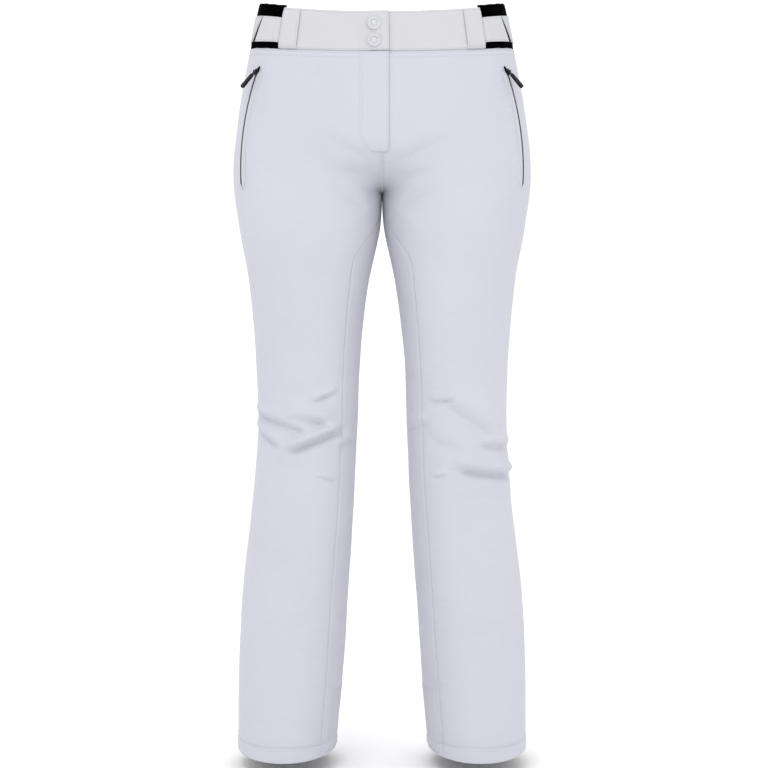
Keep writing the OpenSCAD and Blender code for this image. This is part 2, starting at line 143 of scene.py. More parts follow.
def cloth(t, h, d=0.0):
    """The left half of the garment. t goes round it, 0 at the inside leg and centre front, 0.5 at the
    side and 1 at the centre back; h is the height, and d a distance inwards. A point of the leg's
    oval is mixed with the point of the hips' oval by hip_share."""
    t, h = np.broadcast_arrays(np.asarray(t, float), np.asarray(h, float))
    outer, inner = block(h, 1) - d, block(h, 2) + d
    front, back = block(h, 3) + d, block(h, 4) - d
    cy, b = (front + back) / 2, (back - front) / 2
    t = np.where((t < 0) & (h <= INSIDE_LEG), t + 1, t)
    leg, hip = math.pi * (1 + 2 * t), math.pi * t
    m = hip_share(t, h)
    x = mix((outer + inner) / 2 + (outer - inner) / 2 * power(np.cos(leg), LEG_ROUND),
            outer * power(np.sin(hip), BODY_ROUND), m)
    y = mix(cy + b * power(np.sin(leg), LEG_ROUND), cy - b * power(np.cos(hip), BODY_ROUND), m)
    x = np.where(t < 0, x, np.maximum(x, 0.17))
    return np.stack([x, y, h], axis=-1)


def tilt(t):
    """0 at the centre front, rising to 1 past the side: how far round the waist has risen."""
    return (1 - np.cos(math.pi * np.minimum(1, np.abs(t) / 0.6))) / 2


def waist_top(t):
    """Height of the top of the waistband at t."""
    return SIDE_LENGTH - RISE + (RISE - ELASTIC_UP) * tilt(t)


def band_seam(t):
    """Height of the waistband's lower seam at t."""
    return SIDE_LENGTH - RISE - BAND_HEIGHT + BAND_RISE * tilt(t)


def hem_edge(t):
    """Height of the hem at t, a little higher at its sides."""
    return HEM_LIFT * np.cos(2 * math.pi * t) ** 2


def yoke_seam(t):
    """Height of the seam between the back yoke and the back panel."""
    return band_seam(t) - mix(YOKE_FRONT, YOKE_BACK, smooth((t - SIDE) * 2))


def princess(h):
    """The front edge of the inner leg panel, narrowing to a point at the crotch."""
    return PRINCESS * smooth((INSIDE_LEG - h) / 110) + APEX


def inner_back(h):
    """The back edge of the inner leg panel."""
    return INNER_BACK * smooth((INSIDE_LEG - h) / 140) - APEX


def share_at(x, h):
    """The t at which the front of the hips reaches x."""
    return np.sign(x) * np.arcsin((np.abs(x) / block(h, 1)) ** (1 / BODY_ROUND)) / math.pi


# ---- Relief: what the sewing and the folds do to the smooth block ----

# One fold each: from (x, height), to (x, height), half width, depth, share of lip above it
FOLDS_RIGHT = (
    (-56, 499, -92, 482, 3.2, 2.0, 0.9),
    (-62, 497, -104, 477, 9.0, 1.5, -0.6),
    (-136, 464, -64, 450, 7.5, 3.6, 0.9),
    (-188, 470, -92, 437, 7.0, 3.6, 0.9),
    (-46, 448, -134, 412, 6.0, 5.8, 0.9),
    (-188, 456, -136, 417, 5.5, 3.0, 0.9),
    (-90, 382, -60, 376, 2.6, 1.3, 0.9),
    (-150, 400, -100, 396, 14.0, 1.6, 0.6),
    (-60, 420, -34, 432, 6.0, 2.0, 0.8),
    (-40, 470, -20, 452, 8.0, 1.6, 0.8),
    (-150, 500, -100, 492, 16.0, 1.2, 0.6),
)
FOLDS_LEFT = (
    (62, 483, 100, 486, 3.2, 2.2, 0.9),
    (74, 484, 160, 434, 10.0, 3.0, 0.7),
    (92, 392, 200, 379, 7.0, 5.4, 0.9),
    (128, 424, 198, 420, 6.0, 3.4, 0.9),
    (66, 381, 88, 384, 2.6, 1.3, 0.9),
    (24, 440, 66, 456, 7.0, 1.8, 0.8),
    (60, 430, 110, 415, 10.0, 1.5, 0.6),
    (110, 352, 190, 356, 14.0, 1.3, 0.6),
)
FOLDS_BODY = (
    (12, 800, 92, 838, 9.0, 0.9, 0.7),
    (-12, 802, -88, 846, 10.0, 0.9, 0.7),
    (14, 786, 80, 790, 8.0, 0.72, 0.7),
    (-14, 788, -84, 796, 8.0, 0.72, 0.7),
    (20, 748, 62, 772, 8.0, 0.84, 0.7),
    (-20, 744, -60, 770, 8.0, 0.84, 0.7),
    (-40, 906, -118, 930, 14.0, 0.6, 0.6),
    (40, 900, 126, 924, 14.0, 0.6, 0.6),
    (60, 660, 130, 640, 18.0, 0.72, 0.5),
    (-56, 640, -120, 668, 18.0, 0.72, 0.5),
    (120, 290, 178, 270, 16.0, 0.96, 0.6),
    (-118, 262, -180, 286, 16.0, 0.96, 0.6),
    (90, 160, 150, 178, 16.0, 0.72, 0.6),
    (-88, 190, -148, 168, 16.0, 0.72, 0.6),
)
# The same behind the knees and under the seat
FOLDS_BACK = (
    (52, 452, 158, 446, 8.0, 4.2, 0.9),
    (48, 424, 160, 430, 9.0, 4.6, 0.9),
    (66, 402, 150, 398, 9.0, 3.0, 0.8),
    (62, 476, 152, 484, 10.0, 2.6, 0.8),
    (-54, 448, -158, 452, 8.0, 4.2, 0.9),
    (-48, 428, -162, 422, 9.0, 4.6, 0.9),
    (-68, 398, -150, 404, 9.0, 3.0, 0.8),
    (-60, 480, -150, 474, 10.0, 2.6, 0.8),
    (20, 770, 120, 744, 12.0, 3.0, 0.8),
    (24, 742, 110, 712, 12.0, 2.2, 0.8),
    (-20, 768, -118, 740, 12.0, 3.0, 0.8),
    (-24, 738, -112, 706, 12.0, 2.2, 0.8),
)


def fold(x, h, line):
    """Height of one fold: across its line a valley, half exp(-n^2) and half a crease, exp(-2.2|n|),
    under a rounded lip, exp(-(n-1.6)^2), and along it a rise and fall to nothing at both ends."""
    ax, ah, bx, bh, width, depth, lip = line
    ux, uh = bx - ax, bh - ah
    length = math.hypot(ux, uh)
    s = ((x - ax) * ux + (h - ah) * uh) / length ** 2
    n = ((h - ah) * ux - (x - ax) * uh) / length * math.copysign(1.0, ux) / width
    ends = smooth(s / 0.3 + 0.1) * smooth((1 - s) / 0.3 + 0.1)
    valley = 0.5 * np.exp(-n * n) + 0.6 * np.exp(-2.2 * np.abs(n))
    return depth * ends * (lip * np.exp(-(n - 1.6) ** 2 / 1.4) - valley)


def ripple(points, wave, seed):
    """A smooth wander between -1 and 1: a sum of sines that run in different directions."""
    x, y, z = points[..., 0], points[..., 1], points[..., 2]
    k = 2 * math.pi / wave
    return (np.sin(k * (0.9 * x + 0.35 * z) + seed) * np.sin(k * (0.8 * y - 0.3 * z) + 2.1 * seed)
            + 0.6 * np.sin(k * (0.5 * x - 0.7 * y + 1.1 * z) + 3.7 * seed)
            + 0.4 * np.sin(k * (1.7 * x + 0.4 * y - 0.6 * z) + 5.3 * seed)) / 2


def relief(points, normals, depth):
    """How far the cloth stands out from the smooth block: the folds, kept to the side they are on,
    and a slow wander that leaves no stretch of cloth quite flat."""
    x, h = points[..., 0], points[..., 2]
    facing = normals[..., 1]
    out = np.zeros_like(x)
    for line in FOLDS_RIGHT + FOLDS_LEFT + FOLDS_BODY:
        out += fold(x, h, line) * smooth(-facing * 1.9 + 0.2)
    for line in FOLDS_BACK:
        out += fold(x, h, line) * smooth(facing * 1.6 + 0.25)
    out *= depth
    calm = smooth((band_seam(0.5) - 12 - h) / 60) * smooth((h - 26) / 40)
    return out + calm * (0.9 * ripple(points, 210.0, 1.3) + 0.35 * ripple(points, 74.0, 4.1))


# ---- Meshes ----

def normals_of(points):
    """Unit normals of a grid of points: along the columns crossed with up the rows."""
    du = np.gradient(points, axis=1)
    dv = np.gradient(points, axis=0)
    n = np.cross(du, dv)
    return n / np.maximum(np.linalg.norm(n, axis=-1, keepdims=True), 1e-9)


def grid_faces(rows, columns, start=0, turn=False, round_u=False):
    """Quads between neighbouring points of a grid, numbered row by row."""
    i = np.arange(columns if round_u else columns - 1)
    j = np.arange(rows - 1)[:, None]
    a = j * columns + i + start
    b = j * columns + (i + 1) % columns + start
    quads = np.stack([a, b, b + columns, a + columns], axis=-1).reshape(-1, 4)
    return quads[:, ::-1] if turn else quads


def new_mesh(name, verts, faces, uvs=None, soft=True):
    """An object at the origin from vertices in millimetres, moved down to the row's frame."""
    verts = np.asarray(verts, float).reshape(-1, 3) * 0.001
    verts[:, 2] -= SIDE_LENGTH * 0.001
    mesh = bpy.data.meshes.new(name)
    mesh.from_pydata([], [], [])
    counts = np.concatenate([np.full(len(f), f.shape[1]) for f in faces])
    loops = np.concatenate([f.reshape(-1) for f in faces]).astype(np.int32)
    mesh.vertices.add(len(verts))
    mesh.vertices.foreach_set("co", verts.astype(np.float32).ravel())
    mesh.loops.add(len(loops))
    mesh.loops.foreach_set("vertex_index", loops)
    mesh.polygons.add(len(counts))
    starts = np.concatenate([[0], np.cumsum(counts)[:-1]]).astype(np.int32)
    mesh.polygons.foreach_set("loop_start", starts)
    mesh.polygons.foreach_set("use_smooth", np.full(len(counts), soft))
    if uvs is not None:
        layer = mesh.uv_layers.new(name="cloth_uv")
        layer.data.foreach_set("uv", np.asarray(uvs, np.float32).reshape(-1, 2)[loops].ravel())
    mesh.update()
    mesh.validate()
    obj = bpy.data.objects.new(name, mesh)
    bpy.context.scene.collection.objects.link(obj)
    return obj


def along(points, axis):
    """Distance from the first point of each line of a grid, measured along it."""
    steps = np.linalg.norm(np.diff(points, axis=axis), axis=-1)
    zero = np.zeros_like(np.take(steps, [0], axis=axis))
    return np.concatenate([zero, np.cumsum(steps, axis=axis)], axis=axis)


def shell_parts(outer, inner):
    """A closed shell between two grids of points: the outer face, the inner face turned round, and
    a strip round all four edges. Returns vertices, faces and uvs in metres along the cloth."""
    rows, columns = outer.shape[:2]
    half = rows * columns
    rim = np.concatenate([
        np.arange(columns - 1),
        np.arange(rows - 1) * columns + columns - 1,
        half - 1 - np.arange(columns - 1),
        (rows - 1 - np.arange(rows - 1)) * columns,
    ])
    after = np.roll(rim, -1)
    strip = np.stack([after, rim, rim + half, after + half], axis=-1)
    faces = np.concatenate([grid_faces(rows, columns), grid_faces(rows, columns, half, True), strip])
    uv = np.stack([along(outer, 1), along(outer, 0)], axis=-1) * 0.001
    return (np.concatenate([outer.reshape(-1, 3), inner.reshape(-1, 3)]), faces,
            np.concatenate([uv.reshape(-1, 2)] * 2))


def join_parts(parts):
    """Several (vertices, faces, uvs) as one."""
    verts, faces, uvs, count = [], [], [], 0
    for v, f, uv in parts:
        verts.append(v)
        faces.append(f + count)
        uvs.append(uv)
        count += len(v)
    return np.concatenate(verts), np.concatenate(faces), np.concatenate(uvs)


def mirrored(parts, side):
    """The same parts on the other side: x turned over, and the faces turned back to face outwards."""
    v, f, uv = parts
    if side > 0:
        return parts
    return v * np.array([-1.0, 1.0, 1.0]), f[:, ::-1], uv


def piece(name, parts, material, soft=True):
    """A named object from (vertices, faces, uvs), with its material."""
    verts, faces, uvs = parts
    obj = new_mesh(name, verts, [faces], uvs, soft)
    obj.data.materials.append(material)
    return obj


def edge_ease(count, share=0.6):
    """Steps from 0 to 1 that crowd towards both ends."""
    s = np.linspace(0.0, 1.0, count + 1)
    return mix(s, 0.5 - 0.5 * np.cos(math.pi * s), share)


def panel_grid(columns, levels, start, stop, low, high, bend=0.0):
    """The (t, h) grid of a panel whose sides are t = start(h) and stop(h), and whose ends are
    h = low(t) and high(t). A panel that crosses the crotch has the crotch at level bend."""
    u, v = edge_ease(columns)[None, :], np.asarray(levels)[:, None]

    def level(t):
        if bend == 0.0:
            return mix(low(t), high(t), v)
        return np.where(v <= bend, mix(low(t), INSIDE_LEG, v / bend),
                        mix(INSIDE_LEG, high(t), (v - bend) / (1 - bend)))

    h = level(np.full_like(u, 0.3))
    h = level(mix(start(h), stop(h), u))
    t = mix(start(h), stop(h), u)
    return t, level(t)


def rolled(points, normals, roll, reach, ends=(True, True, True, True)):
    """Turns the edges of a panel in, as a seam does: the depth is roll exp(-(s/reach)^2) at s from
    the first column, the last column, the first row and the last row, where asked."""
    across, up = along(points, 1), along(points, 0)
    spans = (across, across[:, -1:] - across, up, up[-1:, :] - up)
    drop = np.zeros(points.shape[:2])
    for span, wanted in zip(spans, ends):
        if wanted:
            drop = np.maximum(drop, roll * np.exp(-(span / reach) ** 2))
    return points - normals * drop[..., None]


def cloth_panel(t, h, d, thick, side, depth, roll=1.1, reach=1.9, ends=(True, True, True, True),
                extra=None):
    """A panel cut from the block at depth d. Its face is moved out by the relief and any extra
    relief, its edges are rolled in, and its back is the face moved in by the thickness."""
    base = cloth(t, h, d)
    normal = normals_of(base)
    real = base * np.array([side, 1.0, 1.0])
    real_normal = normal * np.array([side, 1.0, 1.0])
    out = relief(real, real_normal, depth) if depth > 0 else np.zeros(t.shape)
    if extra is not None:
        out = out + extra
    face = base + normal * out[..., None]
    normal = normals_of(face)
    face = rolled(face, normal, roll, reach, ends)
    face[..., 0] = np.where(np.abs(base[..., 0]) < 7.0, np.minimum(face[..., 0], base[..., 0]),
                            face[..., 0])
    return face, face - normal * thick, normal


def inset(points, normals, distance, from_start=True, lift=0.15):
    """The line that runs up a panel at a distance in from one side, for a row of stitches."""
    s = along(points, 1)
    if not from_start:
        s = s[:, -1:] - s
        s, points, normals = s[:, ::-1], points[:, ::-1], normals[:, ::-1]
    i = np.clip(np.argmax(s > distance, axis=1), 1, None)
    rows = np.arange(len(points))
    k = ((distance - s[rows, i - 1]) / np.maximum(s[rows, i] - s[rows, i - 1], 1e-6))[:, None]
    n = mix(normals[rows, i - 1], normals[rows, i], k)
    return mix(points[rows, i - 1], points[rows, i], k) + n * lift, n


def level_line(points, normals, distance, from_low=True, lift=0.15):
    """The line that runs across a panel at a distance in from its lower or upper edge."""
    return inset(np.swapaxes(points, 0, 1), np.swapaxes(normals, 0, 1), distance, from_low, lift)


# ---- Stitches: one small capsule for each, laid along lines on the cloth ----

STITCH_RING = 4
STITCH_STATIONS = ((-1.0, 0.35), (-0.6, 1.0), (0.6, 1.0), (1.0, 0.35))


def stitch_parts(path, normal, pitch, length, radius):
    """Capsules along a path, one every pitch: rings of four points at four stations, closed at both
    ends, which sink a little, where the thread goes into the cloth."""
    s = np.concatenate([[0.0], np.cumsum(np.linalg.norm(np.diff(path, axis=0), axis=1))])
    count = max(int(s[-1] / pitch), 1)
    middle = (np.arange(count) + 0.5) * s[-1] / count

    def at(values, where):
        return np.stack([np.interp(where, s, values[:, c]) for c in range(3)], axis=-1)

    centre, out = at(path, middle), at(normal, middle)
    way = at(path, np.minimum(middle + 0.5, s[-1])) - at(path, np.maximum(middle - 0.5, 0))
    way /= np.maximum(np.linalg.norm(way, axis=1, keepdims=True), 1e-9)
    out /= np.maximum(np.linalg.norm(out, axis=1, keepdims=True), 1e-9)
    across = np.cross(out, way)
    angle = np.arange(STITCH_RING) * 2 * math.pi / STITCH_RING
    station = np.array(STITCH_STATIONS)
    reach = (station[:, 0] * length / 2)[None, :, None, None]
    thick = (station[:, 1] * radius)[None, :, None, None]
    sink = (np.abs(station[:, 0]) ** 4 * radius * 1.1)[None, :, None, None]
    ring = (np.cos(angle)[None, None, :, None] * across[:, None, None, :]
            + np.sin(angle)[None, None, :, None] * out[:, None, None, :])
    verts = (centre[:, None, None, :] + reach * way[:, None, None, :] + thick * ring
             - sink * out[:, None, None, :])
    each = len(STITCH_STATIONS) * STITCH_RING
    wall = np.concatenate([grid_faces(len(STITCH_STATIONS), STITCH_RING, round_u=True),
                           [[3, 2, 1, 0]], [[each - 4, each - 3, each - 2, each - 1]]])
    faces = (wall[None] + (np.arange(count) * each)[:, None, None]).reshape(-1, 4)
    return verts.reshape(-1, 3), faces, np.zeros((count * each, 2))


def stitching(name, lines, side, material, pitch, length, radius=0.33):
    """One object with a row of stitches along each line of (path, normals)."""
    parts = [stitch_parts(p, n, pitch, length, radius) for p, n in lines]
    return piece(name, mirrored(join_parts(parts), side), material)


# ---- Materials ----

def shader_group(name, inputs, outputs):
    """A node group with named sockets; each is (name, kind, default). Returns it with its ends."""
    group = bpy.data.node_groups.new(name, "ShaderNodeTree")
    for label, kind, default in inputs:
        socket = group.interface.new_socket(label, in_out="INPUT", socket_type=kind)
        if default is not None:
            socket.default_value = default
    for label, kind in outputs:
        group.interface.new_socket(label, in_out="OUTPUT", socket_type=kind)
    return (group, group.nodes.new("NodeGroupInput").outputs,
            group.nodes.new("NodeGroupOutput").inputs)


def put(tree, kind, links=None, **values):
    """A node in a tree, with its properties and unlinked sockets set, and its inputs linked."""
    node = tree.nodes.new(kind)
    for key, value in values.items():
        setattr(node, key, value)
    for key, value in (links or {}).items():
        if isinstance(value, bpy.types.NodeSocket):
            tree.links.new(value, node.inputs[key])
        else:
            node.inputs[key].default_value = value
    return node


def spread(tree, vector, scale):
    """The vector times a scale for each axis."""
    return put(tree, "ShaderNodeVectorMath", {0: vector, 1: scale}, operation="MULTIPLY").outputs[0]


def math_node(tree, operation, a, b=0.0, clamp=False):
    """One sum of two values."""
    return put(tree, "ShaderNodeMath", {0: a, 1: b}, operation=operation, use_clamp=clamp).outputs[0]


def noise(tree, vector, scale, detail=2.0, roughness=0.5):
    """The value of a noise texture."""
    return put(tree, "ShaderNodeTexNoise", {"Vector": vector, "Scale": scale, "Detail": detail,
                                            "Roughness": roughness}).outputs["Fac"]


def woven_cloth_group():
    """A plain weave in metres of cloth: two sets of yarns, sine by sine, long slubs that run across,
    and a slow change of shade. Puts out a colour, a height and a roughness."""
    group, given, out = shader_group(
        "woven_cloth",
        (("Cloth", "NodeSocketVector", None), ("Place", "NodeSocketVector", None),
         ("Yarns", "NodeSocketFloat", 1500.0), ("Slub", "NodeSocketFloat", 0.5),
         ("Colour", "NodeSocketColor", (0.7, 0.7, 0.7, 1.0)),
         ("Shade", "NodeSocketColor", (0.6, 0.6, 0.6, 1.0)),
         ("Roughness", "NodeSocketFloat", 0.8)),
        (("Colour", "NodeSocketColor"), ("Height", "NodeSocketFloat"),
         ("Roughness", "NodeSocketFloat")))
    parts = put(group, "ShaderNodeSeparateXYZ", {0: given["Cloth"]}).outputs
    turns = math_node(group, "MULTIPLY", given["Yarns"], 2 * math.pi)
    warp = math_node(group, "SINE", math_node(group, "MULTIPLY", parts[0], turns))
    weft = math_node(group, "SINE", math_node(group, "MULTIPLY", parts[1], turns))
    weave = math_node(group, "MULTIPLY", warp, weft)
    slub = noise(group, spread(group, given["Cloth"], (28.0, 380.0, 1.0)), 1.0, 4.0, 0.65)
    slub = math_node(group, "MULTIPLY", math_node(group, "SUBTRACT", slub, 0.5), given["Slub"])
    slow = noise(group, given["Place"], 7.0, 3.0, 0.55)
    fleck = noise(group, spread(group, given["Cloth"], (260.0, 700.0, 1.0)), 1.0, 2.0, 0.6)
    shade = math_node(group, "ADD", math_node(group, "MULTIPLY", slow, 0.8),
                      math_node(group, "MULTIPLY", slub, 1.1))
    shade = math_node(group, "ADD", shade, math_node(group, "MULTIPLY", fleck, 0.25), True)
    colour = put(group, "ShaderNodeMix", {0: shade, 6: given["Colour"], 7: given["Shade"]},
                 data_type="RGBA").outputs[2]
    height = math_node(group, "ADD", math_node(group, "MULTIPLY", weave, 0.18), slub)
    rough = math_node(group, "ADD", given["Roughness"], math_node(group, "MULTIPLY", slub, 0.12))
    for label, socket in (("Colour", colour), ("Height", height), ("Roughness", rough)):
        group.links.new(socket, out[label])
    return group


def ribbed_group():
    """Knitted elastic: ribs across, broken into loops along them, and a dusting of lint."""
    group, given, out = shader_group(
        "ribbed_elastic",
        (("Cloth", "NodeSocketVector", None), ("Place", "NodeSocketVector", None),
         ("Ribs", "NodeSocketFloat", 420.0),
         ("Colour", "NodeSocketColor", (0.01, 0.01, 0.012, 1.0)),
         ("Lint", "NodeSocketColor", (0.05, 0.05, 0.055, 1.0))),
        (("Colour", "NodeSocketColor"), ("Height", "NodeSocketFloat")))
    parts = put(group, "ShaderNodeSeparateXYZ", {0: given["Cloth"]}).outputs
    turns = math_node(group, "MULTIPLY", given["Ribs"], 2 * math.pi)
    ribs = math_node(group, "SINE", math_node(group, "MULTIPLY", parts[1], turns))
    loops = math_node(group, "SINE", math_node(group, "MULTIPLY", parts[0],
                                               math_node(group, "MULTIPLY", turns, 2.2)))
    height = math_node(group, "ADD", ribs, math_node(group, "MULTIPLY", loops, 0.35))
    lint = noise(group, given["Place"], 190.0, 4.0, 0.7)
    lint = math_node(group, "MULTIPLY", math_node(group, "SUBTRACT", lint, 0.52), 3.0, True)
    colour = put(group, "ShaderNodeMix", {0: lint, 6: given["Colour"], 7: given["Lint"]},
                 data_type="RGBA").outputs[2]
    group.links.new(colour, out["Colour"])
    group.links.new(height, out["Height"])
    return group


def handled_group():
    """Small hard things that are handled: fine scratches, a mottled shade and a rougher rub."""
    group, given, out = shader_group(
        "handled_finish",
        (("Place", "NodeSocketVector", None), ("Colour", "NodeSocketColor", (0.5, 0.5, 0.5, 1.0)),
         ("Worn", "NodeSocketColor", (0.6, 0.6, 0.6, 1.0)), ("Amount", "NodeSocketFloat", 0.4),
         ("Roughness", "NodeSocketFloat", 0.4)),
        (("Colour", "NodeSocketColor"), ("Height", "NodeSocketFloat"),
         ("Roughness", "NodeSocketFloat")))
    scratch = noise(group, spread(group, given["Place"], (2200.0, 300.0, 1500.0)), 1.0, 3.0, 0.7)
    mottle = noise(group, given["Place"], 320.0, 3.0, 0.6)
    worn = math_node(group, "MULTIPLY", math_node(group, "SUBTRACT", mottle, 0.45), 2.4, True)
    worn = math_node(group, "MULTIPLY", worn, given["Amount"])
    colour = put(group, "ShaderNodeMix", {0: worn, 6: given["Colour"], 7: given["Worn"]},
                 data_type="RGBA").outputs[2]
    rough = math_node(group, "ADD", given["Roughness"],
                      math_node(group, "MULTIPLY", math_node(group, "SUBTRACT", scratch, 0.5), 0.3))
    for label, socket in (("Colour", colour), ("Height", scratch), ("Roughness", rough)):
        group.links.new(socket, out[label])
    return group


GROUPS = {}
MATERIALS = {}


def shared(name, build):
    """A node group, built the first time it is asked for."""
    if name not in GROUPS:
        GROUPS[name] = build()
    return GROUPS[name]


def start_material(name, **sockets):
    """A named material with its shader's own sockets set. Returns the material, tree and shader."""
    material = bpy.data.materials.new(name)
    material.use_nodes = True
    tree = material.node_tree
    shader = tree.nodes["Principled BSDF"]
    for label, value in sockets.items():
        shader.inputs[label.replace("_", " ")].default_value = value
    MATERIALS[name] = material
    return material, tree, shader


def coordinates(tree):
    """The piece's own cloth map, and its place in the row's frame."""
    return (put(tree, "ShaderNodeUVMap", uv_map="cloth_uv").outputs[0],
            put(tree, "ShaderNodeTexCoord").outputs["Object"])


def bump(tree, shader, height, strength, distance):
    """Feeds a height to the shader's normal."""
    node = put(tree, "ShaderNodeBump", {"Strength": strength, "Distance": distance,
                                        "Height": height})
    tree.links.new(node.outputs[0], shader.inputs["Normal"])


def cloth_material(name, colour, shade, yarns, slub, rough, strength=0.5, distance=0.0002, **sockets):
    """A woven cloth in two close shades."""
    if name in MATERIALS:
        return MATERIALS[name]
    material, tree, shader = start_material(name, **sockets)
    uv, place = coordinates(tree)
    weave = put(tree, "ShaderNodeGroup", node_tree=shared("woven_cloth", woven_cloth_group))
    for label, value in (("Cloth", uv), ("Place", place)):
        tree.links.new(value, weave.inputs[label])
    for label, value in (("Yarns", yarns), ("Slub", slub), ("Colour", (*colour, 1.0)),
                         ("Shade", (*shade, 1.0)), ("Roughness", rough)):
        weave.inputs[label].default_value = value
    tree.links.new(weave.outputs["Colour"], shader.inputs["Base Color"])
    tree.links.new(weave.outputs["Roughness"], shader.inputs["Roughness"])
    bump(tree, shader, weave.outputs["Height"], strength, distance)
    return material


def elastic_material(name, colour, lint, ribs, **sockets):
    """A ribbed elastic."""
    if name in MATERIALS:
        return MATERIALS[name]
    material, tree, shader = start_material(name, **sockets)
    uv, place = coordinates(tree)
    knit = put(tree, "ShaderNodeGroup", node_tree=shared("ribbed_elastic", ribbed_group))
    tree.links.new(uv, knit.inputs["Cloth"])
    tree.links.new(place, knit.inputs["Place"])
    for label, value in (("Ribs", ribs), ("Colour", (*colour, 1.0)), ("Lint", (*lint, 1.0))):
        knit.inputs[label].default_value = value
    tree.links.new(knit.outputs["Colour"], shader.inputs["Base Color"])
    bump(tree, shader, knit.outputs["Height"], 0.6, 0.0004)
    return material


def hard_material(name, colour, worn, amount, rough, height=0.1, **sockets):
    """A moulded or metal finish that has been handled."""
    if name in MATERIALS:
        return MATERIALS[name]
    material, tree, shader = start_material(name, **sockets)
    place = put(tree, "ShaderNodeTexCoord").outputs["Object"]
    finish = put(tree, "ShaderNodeGroup", node_tree=shared("handled_finish", handled_group))
    tree.links.new(place, finish.inputs["Place"])
    for label, value in (("Colour", (*colour, 1.0)), ("Worn", (*worn, 1.0)), ("Amount", amount),
                         ("Roughness", rough)):
        finish.inputs[label].default_value = value
    tree.links.new(finish.outputs["Colour"], shader.inputs["Base Color"])
    tree.links.new(finish.outputs["Roughness"], shader.inputs["Roughness"])
    bump(tree, shader, finish.outputs["Height"], height, 0.00005)
    return material


def shell_cloth():
    c = settings().shell_colour
    return cloth_material("shell_cloth", tuple(c), tuple(v * k for v, k in zip(c, (0.885, 0.895, 0.92))),
                          1500.0, 0.75, 0.82, Specular_IOR_Level=0.25, Sheen_Weight=0.12)


def band_cloth():
    c = settings().band_colour
    return cloth_material("band_cloth", tuple(c), tuple(v * 0.925 for v in c), 1500.0, 0.4, 0.8,
                          Specular_IOR_Level=0.28, Sheen_Weight=0.1)


def scuff_cloth():
    c = settings().shell_colour
    return cloth_material("scuff_cloth", tuple(v * 0.99 for v in c), tuple(v * 0.93 for v in c),
                          640.0, 0.3, 0.75, 0.8, 0.0004, Specular_IOR_Level=0.3)


def lining_cloth():
    c = settings().lining_colour
    return cloth_material("lining_cloth", tuple(c), tuple(v * 0.85 for v in c), 2600.0, 0.15, 0.42,
                          0.3, Specular_IOR_Level=0.45, Sheen_Weight=0.2)


def gaiter_cloth():
    return cloth_material("gaiter_cloth", (0.17, 0.175, 0.19), (0.13, 0.133, 0.147), 1900.0, 0.3, 0.6,
                          0.5, Specular_IOR_Level=0.35)


def thread():
    c = settings().shell_colour
    return hard_material("thread", tuple(v * 0.97 for v in c), tuple(v * 0.86 for v in c), 0.7, 0.7, 0.4)


def black_elastic():
    return elastic_material("black_elastic", (0.0004, 0.0004, 0.0007), (0.0018, 0.0018, 0.0026), 400.0,
                            Roughness=1.0, Specular_IOR_Level=0.02)


def black_rubber():
    return hard_material("black_rubber", (0.003, 0.003, 0.004), (0.014, 0.014, 0.016), 0.5, 0.55,
                         Specular_IOR_Level=0.2)


def zip_coil():
    return hard_material("zip_coil", (0.05, 0.05, 0.056), (0.12, 0.12, 0.125), 0.6, 0.45, 0.3)


def snap_metal():
    return hard_material("snap_metal", (0.52, 0.52, 0.54), (0.38, 0.38, 0.4), 0.6, 0.3, Metallic=1.0)


def dark_metal():
    return hard_material("dark_metal", (0.05, 0.05, 0.055), (0.16, 0.16, 0.17), 0.5, 0.35,
                         Metallic=1.0)


def snap_lacquer():
    return hard_material("snap_lacquer", (0.56, 0.565, 0.60), (0.46, 0.465, 0.50), 0.4, 0.3,
                         Coat_Weight=0.3, Coat_Roughness=0.2)


def hook_patch():
    return cloth_material("hook_patch", (0.62, 0.63, 0.67), (0.5, 0.51, 0.55), 520.0, 0.6, 0.9, 1.0,
                          0.0008, Specular_IOR_Level=0.2)


def label_satin():
    return cloth_material("label_satin", (0.72, 0.72, 0.73), (0.66, 0.66, 0.68), 2400.0, 0.1, 0.35,
                          0.3, Sheen_Weight=0.3)


# ---- Settings ----

class SkiPantsSettings(bpy.types.PropertyGroup):
    """Sizes and colours of the finish."""

    fold_depth: FloatProperty(name="Fold depth", default=1.7, min=0.0, max=3.0, subtype="FACTOR",
                              description="Depth of the folds at the knees and hips")
    seam_roll: FloatProperty(name="Seam roll", default=0.5, min=0.2, max=2.0,
                             description="How far a panel's edge turns in at a seam, in millimetres")
    stitch_pitch: FloatProperty(name="Stitch pitch", default=3.4, min=2.0, max=6.0,
                                description="Distance from stitch to stitch, in millimetres")
    stitch_length: FloatProperty(name="Stitch length", default=2.5, min=1.0, max=5.0,
                                 description="Length of thread that shows, in millimetres")
    hem_turn: FloatProperty(name="Hem turn", default=20.0, min=10.0, max=30.0,
                            description="Depth of the turned hem, in millimetres")
    gaiter_gathers: IntProperty(name="Gaiter gathers", default=30, min=8, max=60,
                                description="Number of gathers round a snow gaiter")
    shell_colour: FloatVectorProperty(name="Shell colour", subtype="COLOR", size=3,
                                      default=(0.560, 0.563, 0.620), min=0.0, max=1.0,
                                      description="Colour of the main cloth")
    band_colour: FloatVectorProperty(name="Band colour", subtype="COLOR", size=3,
                                     default=(0.562, 0.562, 0.594), min=0.0, max=1.0,
                                     description="Colour of the waistband's cloth")
    lining_colour: FloatVectorProperty(name="Lining colour", subtype="COLOR", size=3,
                                       default=(0.50, 0.52, 0.58), min=0.0, max=1.0,
                                       description="Colour of the lining")


